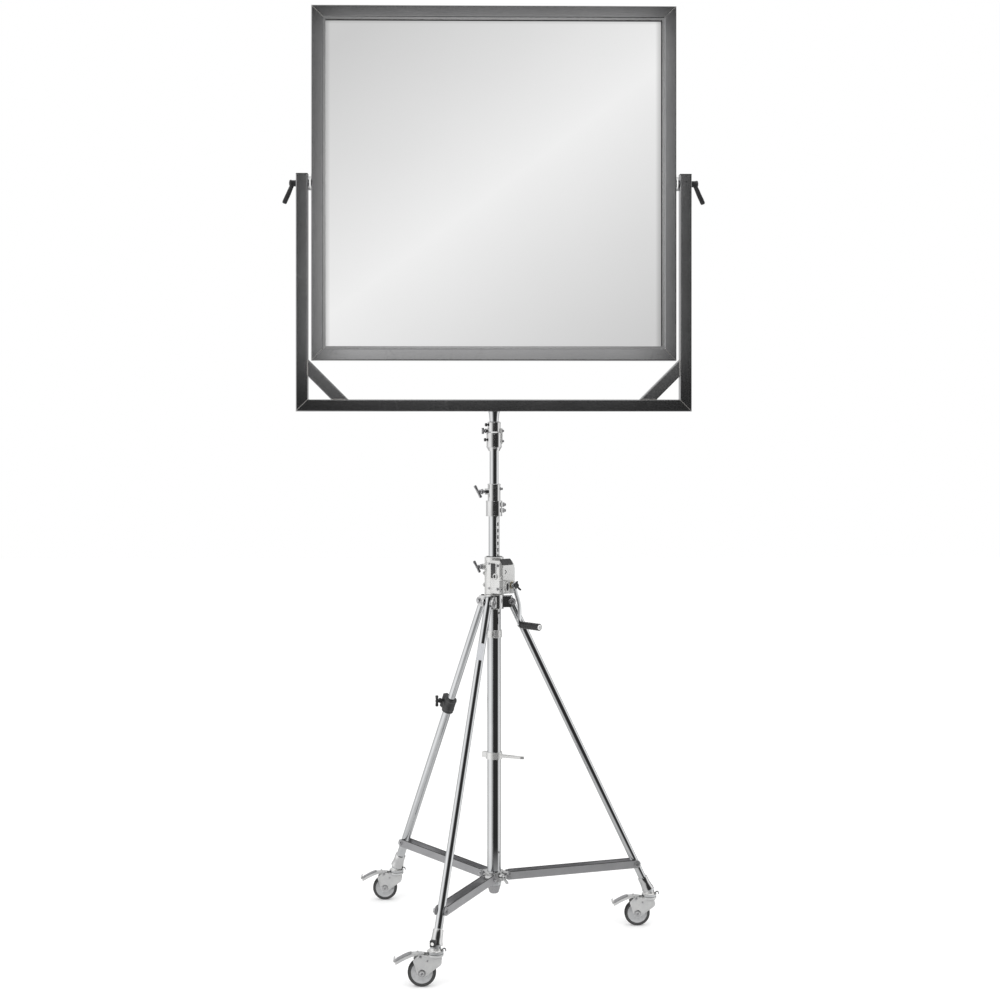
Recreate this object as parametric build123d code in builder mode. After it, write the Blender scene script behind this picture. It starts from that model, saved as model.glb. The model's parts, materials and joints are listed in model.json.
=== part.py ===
from build123d import *
import os
from math import acos, asin, atan2, cos, degrees, hypot, pi, radians, sin

# A mirror reflector panel on a tilting yoke, on a wind-up stand with three castors.
# Millimetres, +Z up. Everything is drawn about the mast, which stands at X = 0, Y = 0,
# and is saved moved back by MAST_Y, so that the origin is on the floor in the middle
# of the footprint. An azimuth of 0 looks at the front, -Y, and 90 to the right, +X.

# ---- driving dimensions ----
FIT = 0.05                    # radial clearance of a pin or shaft in its hole
GAP = 0.4                     # clearance between pieces that pass each other

# legs and feet
LEG_AZIMUTH = {"front": -20.0, "right": 100.0, "left": 220.0}
LEG_PIVOT_RADIUS = 50.0
LEG_PIVOT_Z = 977.0
FOOT_RADIUS = 472.0           # of the castor's swivel axis from the mast
FOOT_Z = 100.0                # where the leg's axis meets the swivel axis
LEG_R = 11.0
LEG_WALL = 1.8
LEG_TOP = 14.0                # leg above its pivot
LEG_SHORT = 14.0              # leg ends this far above the foot point
PIVOT_PIN_R = 4.0
LUG_INSIDE = 11.5             # half the gap between a pair of lugs
LUG_THICK = 5.0
FOLDED_LEG_ANGLE = 4.7        # from upright, when the stand is folded
SLEEVE_R = 12.7               # the levelling leg's lower tube
SLEEVE_TOP = 356.0            # its top end, along the leg
UPPER_LEG_END = 640.0

# column, risers and what joins them
COLUMN_R = 20.0
COLUMN_BORE = 18.3
COLUMN_BOTTOM = 146.0
COLUMN_TOP = 1030.0
FOOT_PLUG_BOTTOM = 122.0
CROWN_BOTTOM = 957.0
CROWN_TOP = 998.0
CROWN_R = 28.0
HOUSING_BOTTOM = 1000.0
HOUSING_TOP = 1106.0
HOUSING_WALL = 4.0
RISER_1_R = 16.0
RISER_1_BORE = 14.0
RISER_1_BOTTOM = 300.0
COLLAR_BOTTOM = 1228.0
COLLAR_TOP = 1323.0
RISER_2_R = 13.0
RISER_2_BORE = 11.0
RISER_2_BOTTOM = 560.0
SOCKET_BOTTOM = 1419.0
SOCKET_TOP = 1505.0
SOCKET_R = 19.0
SPIGOT_R = 14.0

# winch
WINCH_AZIMUTH = 40.0
RACK_PITCH = 18.85
PINION_TEETH = 6
PINION_Z = 1054.0
PITCH_RADIUS = RACK_PITCH * PINION_TEETH / (2 * pi)
RACK_LINE = 16.5              # the pitch line's distance from the mast's axis
PINION_U = RACK_LINE + PITCH_RADIUS
WHEEL_V = 20.0                # the worm wheel's middle, beside the mast
WHEEL_R = 18.7
WORM_R = 7.0
CRANK_Z = PINION_Z - WHEEL_R - WORM_R - 0.3
HOUSING_U = 60.0
HOUSING_V = 27.0
CRANK_LENGTH = 118.0
CRANK_LEAN = 10.0             # the arm hangs this far from upright
GRIP_LENGTH = 84.0

# spreader
HUB_Z = 173.0
HUB_R = 27.0
HUB_HALF = 13.0
BRACE_PIVOT_RADIUS = 42.0
BRACE_SHARE = 0.9             # the brace meets the leg at this share of its length
BRACE_HALF = 11.5             # half a brace's height
BRACE_INSIDE = 13.5
BRACE_SHEET = 2.5

# castors
WHEEL_RADIUS = 38.0
WHEEL_HALF = 11.0
TRAIL = 36.0
FLANGE_BOTTOM = 88.0

# yoke and panel
TUBE = 35.0
TUBE_WALL = 2.0
TUBE_CORNER = 3.0
TUBE_BORE = TUBE - 2 * TUBE_WALL
BORE_CORNER = 1.2
YOKE_HALF = 580.0
RAIL_BOTTOM = 1535.0
ARM_TOP = 2232.0
TILT_Z = 2204.0
PANEL_HALF_W = 535.0
PANEL_HALF_H = 520.0
PIVOT_BOLT_R = 6.0
GLASS_FRONT = -8.0            # Y of the mirror's face, behind the frame's face
GLASS_THICK = 6.0
BOARD_THICK = 6.0
BEAD = 7.0

# ---- worked out ----
MAST_Y = FOOT_RADIUS * (cos(radians(20.0)) - cos(radians(40.0))) / 2
LEG_RUN = FOOT_RADIUS - LEG_PIVOT_RADIUS
LEG_DROP = LEG_PIVOT_Z - FOOT_Z
LEG_LENGTH = hypot(LEG_RUN, LEG_DROP)
LEG_ANGLE = degrees(atan2(LEG_RUN, LEG_DROP))
FOLD_ANGLE = LEG_ANGLE - FOLDED_LEG_ANGLE
JOINT_ALONG = BRACE_SHARE * LEG_LENGTH
JOINT_RADIUS = LEG_PIVOT_RADIUS + JOINT_ALONG * sin(radians(LEG_ANGLE))
JOINT_Z = LEG_PIVOT_Z - JOINT_ALONG * cos(radians(LEG_ANGLE))
BRACE_RUN = JOINT_RADIUS - BRACE_PIVOT_RADIUS
BRACE_LENGTH = hypot(BRACE_RUN, JOINT_Z - HUB_Z)
BRACE_RISE = degrees(asin((JOINT_Z - HUB_Z) / BRACE_LENGTH))
FOLDED_RUN = LEG_PIVOT_RADIUS + JOINT_ALONG * sin(radians(FOLDED_LEG_ANGLE)) - BRACE_PIVOT_RADIUS
BRACE_FOLD = BRACE_RISE + degrees(acos(FOLDED_RUN / BRACE_LENGTH))
FOLDED_JOINT_Z = LEG_PIVOT_Z - JOINT_ALONG * cos(radians(FOLDED_LEG_ANGLE))
HUB_TRAVEL = FOLDED_JOINT_Z + BRACE_LENGTH * sin(acos(FOLDED_RUN / BRACE_LENGTH)) - HUB_Z
RAIL_TOP = RAIL_BOTTOM + TUBE
ARM_INSIDE = YOKE_HALF - TUBE
OPENING_HALF_W = PANEL_HALF_W - TUBE
OPENING_HALF_H = PANEL_HALF_H - TUBE
UP = Vector(0, 0, 1)


def outward(azimuth):
    """The level direction away from the mast at an azimuth."""
    return Vector(sin(radians(azimuth)), -cos(radians(azimuth)), 0)


def sideways(azimuth):
    """The level direction across an azimuth, anticlockwise seen from above."""
    return Vector(cos(radians(azimuth)), sin(radians(azimuth)), 0)


def facing(azimuth, out, height):
    """A plane that faces away from the mast, with its Y up."""
    origin = outward(azimuth) * out + UP * height
    return Plane(origin=origin, x_dir=sideways(azimuth), z_dir=outward(azimuth))


def level(azimuth, height):
    """A level plane about the mast, with its X along an azimuth."""
    return Plane(origin=UP * height, x_dir=outward(azimuth), z_dir=UP)


def upright(azimuth, side=0.0):
    """The upright plane through the mast at an azimuth: X is outward and Y is up."""
    origin = sideways(azimuth) * side
    return Plane(origin=origin, x_dir=outward(azimuth), z_dir=-sideways(azimuth))


def leg_plane(azimuth, along=0.0):
    """A plane across a leg, this far down it from its pivot, facing down the leg."""
    down = outward(azimuth) * sin(radians(LEG_ANGLE)) - UP * cos(radians(LEG_ANGLE))
    pivot = outward(azimuth) * LEG_PIVOT_RADIUS + UP * LEG_PIVOT_Z
    return Plane(origin=pivot + down * along, x_dir=sideways(azimuth), z_dir=down)


def save(piece, name, place=Location()):
    """Writes a finished piece, placed about the mast, as a node of its own."""
    placed = piece.moved(Location((0, MAST_Y, 0)) * place)
    placed.label = name
    export_step(placed, f"parts/{name}.step")


def ring(plane, outer, inner, length):
    """A plain ring or tube that rises from a plane, added to the current part."""
    with BuildSketch(plane) as profile:
        Circle(outer)
        Circle(inner, mode=Mode.SUBTRACT)
    extrude(profile.sketch, amount=length)


def bore(plane, radius, length):
    """A round hole that starts on a plane and runs along its normal."""
    with BuildSketch(plane) as profile:
        Circle(radius)
    extrude(profile.sketch, amount=length, mode=Mode.SUBTRACT)


def t_knob(stem_length, stem_r, bar_length, bar_r):
    """A screw with a cross bar for a handle. Z is the screw's axis, outward."""
    with BuildPart() as knob:
        with BuildSketch(Plane.XY):
            Circle(stem_r)
        extrude(amount=stem_length)
        with BuildSketch(Plane.XY.offset(stem_length * 0.55)):
            Circle(stem_r * 1.9)
        extrude(amount=stem_length * 0.45)
        bar_end = (0, -bar_length / 2, stem_length + bar_r * 0.7)
        with BuildSketch(Plane(origin=bar_end, z_dir=(0, 1, 0))):
            Circle(bar_r)
        extrude(amount=bar_length)
        fillet(knob.faces().filter_by(Axis.Y).edges(), bar_r * 0.45)
    return knob.part


def square_tube(start, along, length):
    """A square tube with rounded corners from a point along a direction."""
    plane = Plane(origin=start, x_dir=(0, 1, 0), z_dir=along)
    with BuildSketch(plane) as profile:
        RectangleRounded(TUBE, TUBE, TUBE_CORNER)
        RectangleRounded(TUBE_BORE, TUBE_BORE, BORE_CORNER, mode=Mode.SUBTRACT)
    extrude(profile.sketch, amount=length)


def mitre(corner, away):
    """Cuts the current part off at a plane through a corner."""
    split(bisect_by=Plane(origin=corner, z_dir=away), keep=Keep.BOTTOM)


os.makedirs("parts", exist_ok=True)

# ================= column =================

# column tube, plain, with the risers inside it
with BuildPart() as column_tube:
    ring(Plane.XY.offset(COLUMN_BOTTOM), COLUMN_R, COLUMN_BORE, COLUMN_TOP - COLUMN_BOTTOM)
    chamfer(column_tube.edges().group_by(Axis.Z)[0], 0.5)
save(column_tube.part, "column_tube")

PLUG_DEPTH = 20.0

# tapered plug in the column's lower end
with BuildPart() as column_foot:
    with BuildSketch(Plane.XZ):
        with BuildLine():
            Polyline(
                (0, FOOT_PLUG_BOTTOM),
                (11, FOOT_PLUG_BOTTOM),
                (14, FOOT_PLUG_BOTTOM + 3),
                (COLUMN_R, COLUMN_BOTTOM),
                (COLUMN_BORE, COLUMN_BOTTOM),
                (COLUMN_BORE, COLUMN_BOTTOM + PLUG_DEPTH),
                (0, COLUMN_BOTTOM + PLUG_DEPTH),
                close=True,
            )
        make_face()
    revolve(axis=Axis.Z)
save(column_foot.part, "column_foot")

LUG_R = 12.0
LUG_ROOT = 32.0               # the middle of the web between the crown and a lug's eye

# crown casting, with a pair of lugs for each leg
with BuildPart() as leg_crown:
    ring(Plane.XY.offset(CROWN_BOTTOM), CROWN_R, COLUMN_R, CROWN_TOP - CROWN_BOTTOM)
    for azimuth in LEG_AZIMUTH.values():
        for side in (-1, 1):
            middle = side * (LUG_INSIDE + LUG_THICK / 2)
            with BuildSketch(upright(azimuth, middle)):
                with Locations((LEG_PIVOT_RADIUS, LEG_PIVOT_Z)):
                    Circle(LUG_R)
                with Locations((LUG_ROOT, LEG_PIVOT_Z)):
                    Rectangle(34, 32)
            extrude(amount=LUG_THICK / 2, both=True)
    bore(Plane.XY.offset(CROWN_BOTTOM - 1), COLUMN_R, CROWN_TOP - CROWN_BOTTOM + 2)
    for azimuth in LEG_AZIMUTH.values():
        pivot = outward(azimuth) * LEG_PIVOT_RADIUS + UP * LEG_PIVOT_Z
        with Locations(Plane(origin=pivot, z_dir=sideways(azimuth))):
            Cylinder(PIVOT_PIN_R, 60, mode=Mode.SUBTRACT)
save(leg_crown.part, "leg_crown")

BOLT_HEAD_R = 7.0

# the three leg pivot bolts, each with a round head and a nut
with BuildPart() as leg_pivot_bolts:
    for azimuth in LEG_AZIMUTH.values():
        outer = LUG_INSIDE + LUG_THICK
        pivot = outward(azimuth) * LEG_PIVOT_RADIUS + UP * LEG_PIVOT_Z
        start = pivot - sideways(azimuth) * outer
        with BuildSketch(Plane(origin=start, z_dir=sideways(azimuth))):
            Circle(PIVOT_PIN_R)
        extrude(amount=2 * outer)
        with BuildSketch(Plane(origin=start, z_dir=-sideways(azimuth))):
            Circle(BOLT_HEAD_R)
        extrude(amount=4)
        nut_face = pivot + sideways(azimuth) * outer
        with BuildSketch(Plane(origin=nut_face, z_dir=sideways(azimuth))):
            RegularPolygon(BOLT_HEAD_R, 6)
        extrude(amount=5)
save(leg_pivot_bolts.part, "leg_pivot_bolts")

# clip on the column for the folded stand's strap, a split ring with a tapered hook
CLIP_Z = 516.0
CLIP_HEIGHT = 20.0
CLIP_AZIMUTH = 62.0
HOOK_THICK = 7.0
with BuildPart() as column_clip:
    ring(Plane.XY.offset(CLIP_Z), COLUMN_R + 4, COLUMN_R, CLIP_HEIGHT)
    with BuildSketch(level(CLIP_AZIMUTH, CLIP_Z + 6)):
        with BuildLine():
            Polyline((22, -9), (60, -5), (88, -3), (97, 2), (95, 6), (22, 9), close=True)
        make_face()
        with BuildLine():
            Polyline((34, -4), (60, -1), (80, 1), (34, 4), close=True)
        make_face(mode=Mode.SUBTRACT)
    extrude(amount=HOOK_THICK)
    with BuildSketch(facing(CLIP_AZIMUTH + 180, COLUMN_R + 2, CLIP_Z + CLIP_HEIGHT / 2)):
        Rectangle(16, 16)
    extrude(amount=14)
    bore(Plane.XY.offset(CLIP_Z - 1), COLUMN_R, CLIP_HEIGHT + 2)
save(column_clip.part, "column_clip")

# ================= winch =================

WORM_SHAFT_R = 5.0
CHAMBER_FLOOR = HOUSING_BOTTOM + HOUSING_WALL + 6
CHAMBER_TOP = 1086.0
CHAMBER_U = 14.0
KNOB_AZIMUTH = -80.0
LOCK_Z = 1080.0
RACK_HALF = 4.5
RACK_FACE = 17.5
RACK_BACK = 15.0
RISER_ROOM = 3.0              # room about riser 1 inside the housing's mouth
SHAFT_R = 5.0                 # the pinion's shaft
SLEEVE_WALL_R = 28.0          # outside of the sleeve on the column
BOX_BACK = -14.0              # the box's start, inside the sleeve
BOX_V = -24.0                 # the box's blind side
LOCK_BOSS_R = 9.0

# housing: a sleeve on the column and a box beside it, open on one side for the cover
with BuildPart() as winch_housing:
    with BuildSketch(Plane.XY.offset(HOUSING_BOTTOM)):
        Circle(SLEEVE_WALL_R)
    extrude(amount=HOUSING_TOP - HOUSING_BOTTOM)
    with BuildSketch(level(WINCH_AZIMUTH, HOUSING_BOTTOM + 4)):
        with BuildLine():
            Polyline(
                (BOX_BACK, BOX_V),
                (HOUSING_U - 8, BOX_V),
                (HOUSING_U, BOX_V + 8),
                (HOUSING_U, HOUSING_V),
                (BOX_BACK, HOUSING_V),
                close=True,
            )
        make_face()
    extrude(amount=HOUSING_TOP - HOUSING_BOTTOM - 10)
    with BuildSketch(upright(WINCH_AZIMUTH)):
        with BuildLine():
            Polyline(
                (44, HOUSING_TOP),
                (HOUSING_U + 1, HOUSING_TOP - 20),
                (HOUSING_U + 1, HOUSING_TOP),
                close=True,
            )
        make_face()
    extrude(amount=40, both=True, mode=Mode.SUBTRACT)
    # the chamber for the pinion, the worm wheel and the worm
    with BuildSketch(level(WINCH_AZIMUTH, CHAMBER_FLOOR)):
        with Locations(((CHAMBER_U + HOUSING_U - HOUSING_WALL) / 2, (HOUSING_V - 10) / 2)):
            Rectangle(HOUSING_U - HOUSING_WALL - CHAMBER_U, HOUSING_V + 10)
    extrude(amount=CHAMBER_TOP - CHAMBER_FLOOR, mode=Mode.SUBTRACT)
    # the boss of the riser's lock
    with BuildSketch(facing(KNOB_AZIMUTH, 20, LOCK_Z)):
        Circle(LOCK_BOSS_R)
    extrude(amount=15)
    # the column below, the riser and its rack above
    bore(Plane.XY.offset(HOUSING_BOTTOM - 1), COLUMN_R, COLUMN_TOP - HOUSING_BOTTOM + 1)
    bore(Plane.XY.offset(COLUMN_TOP), RISER_1_R + RISER_ROOM, HOUSING_TOP - COLUMN_TOP + 1)
    bore(facing(KNOB_AZIMUTH, 15, LOCK_Z), 4 + FIT, 25)
    # the shafts' seats
    pinion_end = outward(WINCH_AZIMUTH) * PINION_U + UP * PINION_Z
    with Locations(Plane(origin=pinion_end, z_dir=sideways(WINCH_AZIMUTH))):
        Cylinder(SHAFT_R + FIT, 100, mode=Mode.SUBTRACT)
    shaft_line = sideways(WINCH_AZIMUTH) * WHEEL_V + UP * CRANK_Z
    bore(
        Plane(origin=shaft_line + outward(WINCH_AZIMUTH) * 30, z_dir=outward(WINCH_AZIMUTH)),
        WORM_SHAFT_R + FIT,
        60,
    )
save(winch_housing.part, "winch_housing")

COVER_THICK = 3.0
SCREW_PLACES = [(26, 1018), (54, 1018), (26, 1080), (48, 1080)]

# cover plate that closes the chamber
with BuildPart() as winch_cover:
    with BuildSketch(upright(WINCH_AZIMUTH, HOUSING_V)):
        with BuildLine():
            Polyline((20, 1008), (58, 1008), (58, 1078), (44, 1096), (20, 1096), close=True)
        make_face()
    extrude(amount=-COVER_THICK)
    with Locations(Plane(origin=pinion_end, z_dir=sideways(WINCH_AZIMUTH))):
        Cylinder(SHAFT_R + FIT, 100, mode=Mode.SUBTRACT)
    through = Axis(origin=(0, 0, 0), direction=sideways(WINCH_AZIMUTH))
    fillet(winch_cover.edges().filter_by(through), 3)
save(winch_cover.part, "winch_cover")

# the cover's four screw heads
with BuildPart() as cover_screws:
    for place in SCREW_PLACES:
        with BuildSketch(upright(WINCH_AZIMUTH, HOUSING_V + COVER_THICK)):
            with Locations(place):
                Circle(4)
                RegularPolygon(1.8, 6, mode=Mode.SUBTRACT)
        extrude(amount=-2.5)
save(cover_screws.part, "cover_screws")

BUSH_BOTTOM = 1088.0

# plastic bush that guides the riser at the housing's mouth
with BuildPart() as riser_bush:
    ring(Plane.XY.offset(BUSH_BOTTOM), RISER_1_R + RISER_ROOM, RISER_1_R + FIT, HOUSING_TOP - BUSH_BOTTOM)
    ring(Plane.XY.offset(HOUSING_TOP), RISER_1_R + 7, RISER_1_R + FIT, 4)
    with BuildSketch(level(WINCH_AZIMUTH, BUSH_BOTTOM - 1)):
        with Locations((17, 0)):
            Rectangle(4, 2 * RACK_HALF + 1)
    extrude(amount=40, mode=Mode.SUBTRACT)
save(riser_bush.part, "riser_bush")

# pinion, whose teeth enter the rack's windows, with its shaft
PINION_HALF = 2.0
with BuildPart() as pinion_shaft:
    with BuildSketch(upright(WINCH_AZIMUTH, BOX_V)):
        with Locations((PINION_U, PINION_Z)):
            Circle(SHAFT_R)
    extrude(amount=BOX_V - HOUSING_V - 2)
    with BuildSketch(upright(WINCH_AZIMUTH)):
        with Locations((PINION_U, PINION_Z)):
            Circle(PITCH_RADIUS - 4)
            with PolarLocations(PITCH_RADIUS - 3, PINION_TEETH, start_angle=180):
                Trapezoid(6.6, 11, 80, rotation=-90)
    extrude(amount=PINION_HALF, both=True)
save(pinion_shaft.part, "pinion_shaft")

# worm wheel on the pinion's shaft
WHEEL_TEETH = 16
with BuildPart() as worm_wheel:
    with BuildSketch(upright(WINCH_AZIMUTH, WHEEL_V)):
        with Locations((PINION_U, PINION_Z)):
            Circle(WHEEL_R)
            Circle(SHAFT_R, mode=Mode.SUBTRACT)
            with PolarLocations(WHEEL_R, WHEEL_TEETH, start_angle=180 / WHEEL_TEETH + 90):
                SlotOverall(5, 2.6, mode=Mode.SUBTRACT)
    extrude(amount=2.5, both=True)
save(worm_wheel.part, "worm_wheel")

# crank shaft with its worm
CRANK_U = 66.0
WORM_U = 24.0
WORM_STEP = 4.4
SHOULDER_R = 9.0
with BuildPart() as crank_shaft:
    shaft_start = shaft_line + outward(WINCH_AZIMUTH) * WORM_U
    worm_start = Plane(origin=shaft_start, z_dir=outward(WINCH_AZIMUTH))
    with BuildSketch(worm_start):
        Circle(WORM_SHAFT_R)
    extrude(amount=CRANK_U + 13 - WORM_U)
    for thread in range(5):
        with BuildSketch(worm_start.offset(1 + WORM_STEP * thread)):
            Circle(WORM_R)
        extrude(amount=WORM_STEP / 2)
    with BuildSketch(worm_start.offset(CRANK_U - WORM_U - 5)):
        Circle(SHOULDER_R)
    extrude(amount=4.5)
save(crank_shaft.part, "crank_shaft")

# crank arm, a flat bar that leans outward, with a boss at each end
lean = radians(CRANK_LEAN)
ARM_PLANE = Plane(
    origin=shaft_line + outward(WINCH_AZIMUTH) * CRANK_U,
    x_dir=sideways(WINCH_AZIMUTH),
    z_dir=outward(WINCH_AZIMUTH),
)
ARM_END = (CRANK_LENGTH * sin(lean), -CRANK_LENGTH * cos(lean))
ARM_HALF = 6.5
SPINDLE_R = 4.0
with BuildPart() as crank_arm:
    with BuildSketch(ARM_PLANE):
        Circle(11)
    extrude(amount=10)
    with BuildSketch(ARM_PLANE):
        with Locations(ARM_END):
            Circle(8)
    extrude(amount=7)
    with BuildSketch(ARM_PLANE):
        with BuildLine():
            side_x = cos(lean) * ARM_HALF
            side_y = sin(lean) * ARM_HALF
            Polyline(
                (side_x, side_y),
                (-side_x, -side_y),
                (ARM_END[0] - side_x, ARM_END[1] - side_y),
                (ARM_END[0] + side_x, ARM_END[1] + side_y),
                close=True,
            )
        make_face()
    extrude(amount=5)
    bore(ARM_PLANE.offset(-1), WORM_SHAFT_R, 30)
    # the grip's spindle
    spindle_start = ARM_PLANE.from_local_coords((*ARM_END, 0))
    with BuildSketch(Plane(origin=spindle_start, z_dir=ARM_PLANE.z_dir)):
        Circle(SPINDLE_R)
    extrude(amount=8 + GRIP_LENGTH)
save(crank_arm.part, "crank_arm")

# grip, a sleeve that turns on the spindle
GRIP_START = ARM_PLANE.from_local_coords((*ARM_END, 7.5))
GRIP_R = 10.5
with BuildPart() as crank_grip:
    grip_plane = Plane(origin=GRIP_START, z_dir=ARM_PLANE.z_dir)
    ring(grip_plane, GRIP_R, SPINDLE_R + FIT, GRIP_LENGTH - 4)
    spindle_line = Axis(origin=(0, 0, 0), direction=ARM_PLANE.z_dir)
    end_edges = crank_grip.edges().group_by(spindle_line)[-1]
    fillet(end_edges.sort_by(SortBy.LENGTH)[-1], 3)
save(crank_grip.part, "crank_grip")

# ================= risers =================

# riser 1, with the windows that the pinion enters
RACK_TOP = COLLAR_BOTTOM - 2
RISER_1_TOP = COLLAR_TOP - 30
SLOT_FACE = 20.0              # the rack's slot is cut out to here, past the tube
windows_below = int((PINION_Z - RISER_1_BOTTOM - 100) / RACK_PITCH)
windows_above = int((RACK_TOP - 10 - PINION_Z) / RACK_PITCH)
WINDOWS = [PINION_Z + k * RACK_PITCH for k in range(-windows_below, windows_above + 1)]


def rack_windows():
    """Cuts the rack's row of windows out of the current part."""
    with BuildSketch(facing(WINCH_AZIMUTH, 11, 0)) as profile:
        for height in WINDOWS:
            with Locations((0, height)):
                RectangleRounded(5.6, 11, 1.5)
    extrude(profile.sketch, amount=10, mode=Mode.SUBTRACT)


RACK_BOTTOM = WINDOWS[0] - 12
with BuildPart() as riser_1_tube:
    ring(Plane.XY.offset(RISER_1_BOTTOM), RISER_1_R, RISER_1_BORE, RISER_1_TOP - RISER_1_BOTTOM)
    with BuildSketch(level(WINCH_AZIMUTH, RACK_BOTTOM)):
        with Locations(((RACK_BACK + SLOT_FACE) / 2, 0)):
            Rectangle(SLOT_FACE - RACK_BACK, 2 * RACK_HALF)
    extrude(amount=RACK_TOP - RACK_BOTTOM, mode=Mode.SUBTRACT)
    rack_windows()
save(riser_1_tube.part, "riser_1_tube")

# the rack strip let into riser 1
with BuildPart() as rack_strip:
    with BuildSketch(level(WINCH_AZIMUTH, RACK_BOTTOM)):
        with Locations(((RACK_BACK + RACK_FACE) / 2, 0)):
            Rectangle(RACK_FACE - RACK_BACK, 2 * RACK_HALF)
    extrude(amount=RACK_TOP - RACK_BOTTOM)
    rack_windows()
save(rack_strip.part, "rack_strip")

# clamp casting on riser 1, in two diameters, with an ear for its T screw
COLLAR_STEP = 1273.0
COLLAR_LOW_R = 23.5
COLLAR_HIGH_R = 18.5
COLLAR_KNOB_Z = 1300.0
EAR_AZIMUTH = 70.0
STEM_R = 4.0                  # the stems of the larger T screws
with BuildPart() as riser_collar:
    ring(
        Plane.XY.offset(COLLAR_BOTTOM),
        COLLAR_LOW_R,
        RISER_2_R + FIT,
        COLLAR_STEP - COLLAR_BOTTOM,
    )
    ring(Plane.XY.offset(COLLAR_STEP), COLLAR_HIGH_R, RISER_2_R + FIT, COLLAR_TOP - COLLAR_STEP)
    with BuildSketch(facing(KNOB_AZIMUTH, 0, COLLAR_KNOB_Z)):
        Circle(9)
    extrude(amount=27)
    for height in (1245, 1262):
        with BuildSketch(facing(EAR_AZIMUTH, 0, height)):
            RectangleRounded(12, 13, 3)
        extrude(amount=30)
    bore(Plane.XY.offset(COLLAR_BOTTOM - 1), RISER_2_R + FIT, COLLAR_TOP - COLLAR_BOTTOM + 2)
    bore(Plane.XY.offset(COLLAR_BOTTOM - 1), RISER_1_R, RISER_1_TOP - COLLAR_BOTTOM + 1)
    bore(facing(KNOB_AZIMUTH, 16, COLLAR_KNOB_Z), STEM_R + FIT, 20)
    top_edges = riser_collar.edges().group_by(Axis.Z)[-1]
    chamfer(top_edges.sort_by(SortBy.LENGTH)[-1], 1.5)
save(riser_collar.part, "riser_collar")

RISER_2_TOP = 1444.0
SPIGOT_FLOOR = 1446.0         # the bottom of the spigot's hole in the socket

# riser 2, a plain tube
with BuildPart() as riser_2_tube:
    ring(Plane.XY.offset(RISER_2_BOTTOM), RISER_2_R, RISER_2_BORE, RISER_2_TOP - RISER_2_BOTTOM)
save(riser_2_tube.part, "riser_2_tube")

# socket casting on riser 2, which holds the yoke's spigot
SOCKET_KNOB_Z = 1478.0
SMALL_STEM_R = 3.5            # the stem of the socket's T screw
with BuildPart() as top_socket:
    with BuildSketch(Plane.XZ):
        with BuildLine():
            Polyline(
                (RISER_2_R, SOCKET_BOTTOM),
                (SOCKET_R - 3, SOCKET_BOTTOM),
                (SOCKET_R, SOCKET_BOTTOM + 6),
                (SOCKET_R + 3, 1430),
                (SOCKET_R + 3, 1472),
                (SOCKET_R, 1476),
                (SOCKET_R, SOCKET_TOP - 2),
                (SOCKET_R - 2, SOCKET_TOP),
                (SPIGOT_R + FIT, SOCKET_TOP),
                (SPIGOT_R + FIT, SPIGOT_FLOOR),
                (RISER_2_R, RISER_2_TOP),
                close=True,
            )
        make_face()
    revolve(axis=Axis.Z)
    with BuildSketch(facing(KNOB_AZIMUTH, 16, SOCKET_KNOB_Z)):
        Circle(7)
    extrude(amount=7)
    bore(facing(KNOB_AZIMUTH, SPIGOT_R - 2, SOCKET_KNOB_Z), SMALL_STEM_R + FIT, 20)
save(top_socket.part, "top_socket")

# T screws: the riser's lock on the housing, the collar's and the socket's
lock_seat = facing(KNOB_AZIMUTH, 20, LOCK_Z)
collar_seat = facing(KNOB_AZIMUTH, 17, COLLAR_KNOB_Z)
socket_seat = facing(KNOB_AZIMUTH, 15, SOCKET_KNOB_Z)
save(t_knob(28, STEM_R, 40, 5), "riser_lock_knob", lock_seat.location)
save(t_knob(28, STEM_R, 42, 5), "collar_knob", collar_seat.location)
save(t_knob(16, SMALL_STEM_R, 18, 4), "socket_knob", socket_seat.location)

# ================= legs =================


def leg_tube(azimuth, length, outer=LEG_R, wall=LEG_WALL, start=-LEG_TOP):
    """A leg's tube, drilled for its pivot bolt where it has one."""
    with BuildPart() as tube:
        ring(leg_plane(azimuth, start), outer, outer - wall, length - start)
        if start < 0:
            pivot = leg_plane(azimuth).origin
            with Locations(Plane(origin=pivot, z_dir=sideways(azimuth))):
                Cylinder(PIVOT_PIN_R + FIT, 60, mode=Mode.SUBTRACT)
    return tube.part


SOCKET_DEPTH = 46.0           # of the foot casting's socket, back from the foot point
FLANGE_R = 21.5
FLANGE_THICK = 6.0
CASTOR_STEM_R = 5.5


def leg_shoe(azimuth, tube_r):
    """The foot casting: a socket for the leg and a level flange over the castor."""
    foot = outward(azimuth) * FOOT_RADIUS
    with BuildPart() as shoe:
        with BuildSketch(leg_plane(azimuth, LEG_LENGTH - SOCKET_DEPTH)):
            Circle(tube_r + 3)
        extrude(amount=SOCKET_DEPTH - 2)
        with BuildSketch(Plane(origin=foot + UP * (FLANGE_BOTTOM + FLANGE_THICK))):
            Circle(15)
        extrude(amount=18)
        with BuildSketch(Plane(origin=foot + UP * FLANGE_BOTTOM)):
            Circle(FLANGE_R)
        extrude(amount=FLANGE_THICK, taper=-8)
        bore(leg_plane(azimuth, LEG_LENGTH - SOCKET_DEPTH - 4), tube_r, SOCKET_DEPTH + 4 - LEG_SHORT)
        bore(Plane(origin=foot + UP * (FLANGE_BOTTOM - 1)), CASTOR_STEM_R + FIT, 19.4)
    return shoe.part


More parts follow.
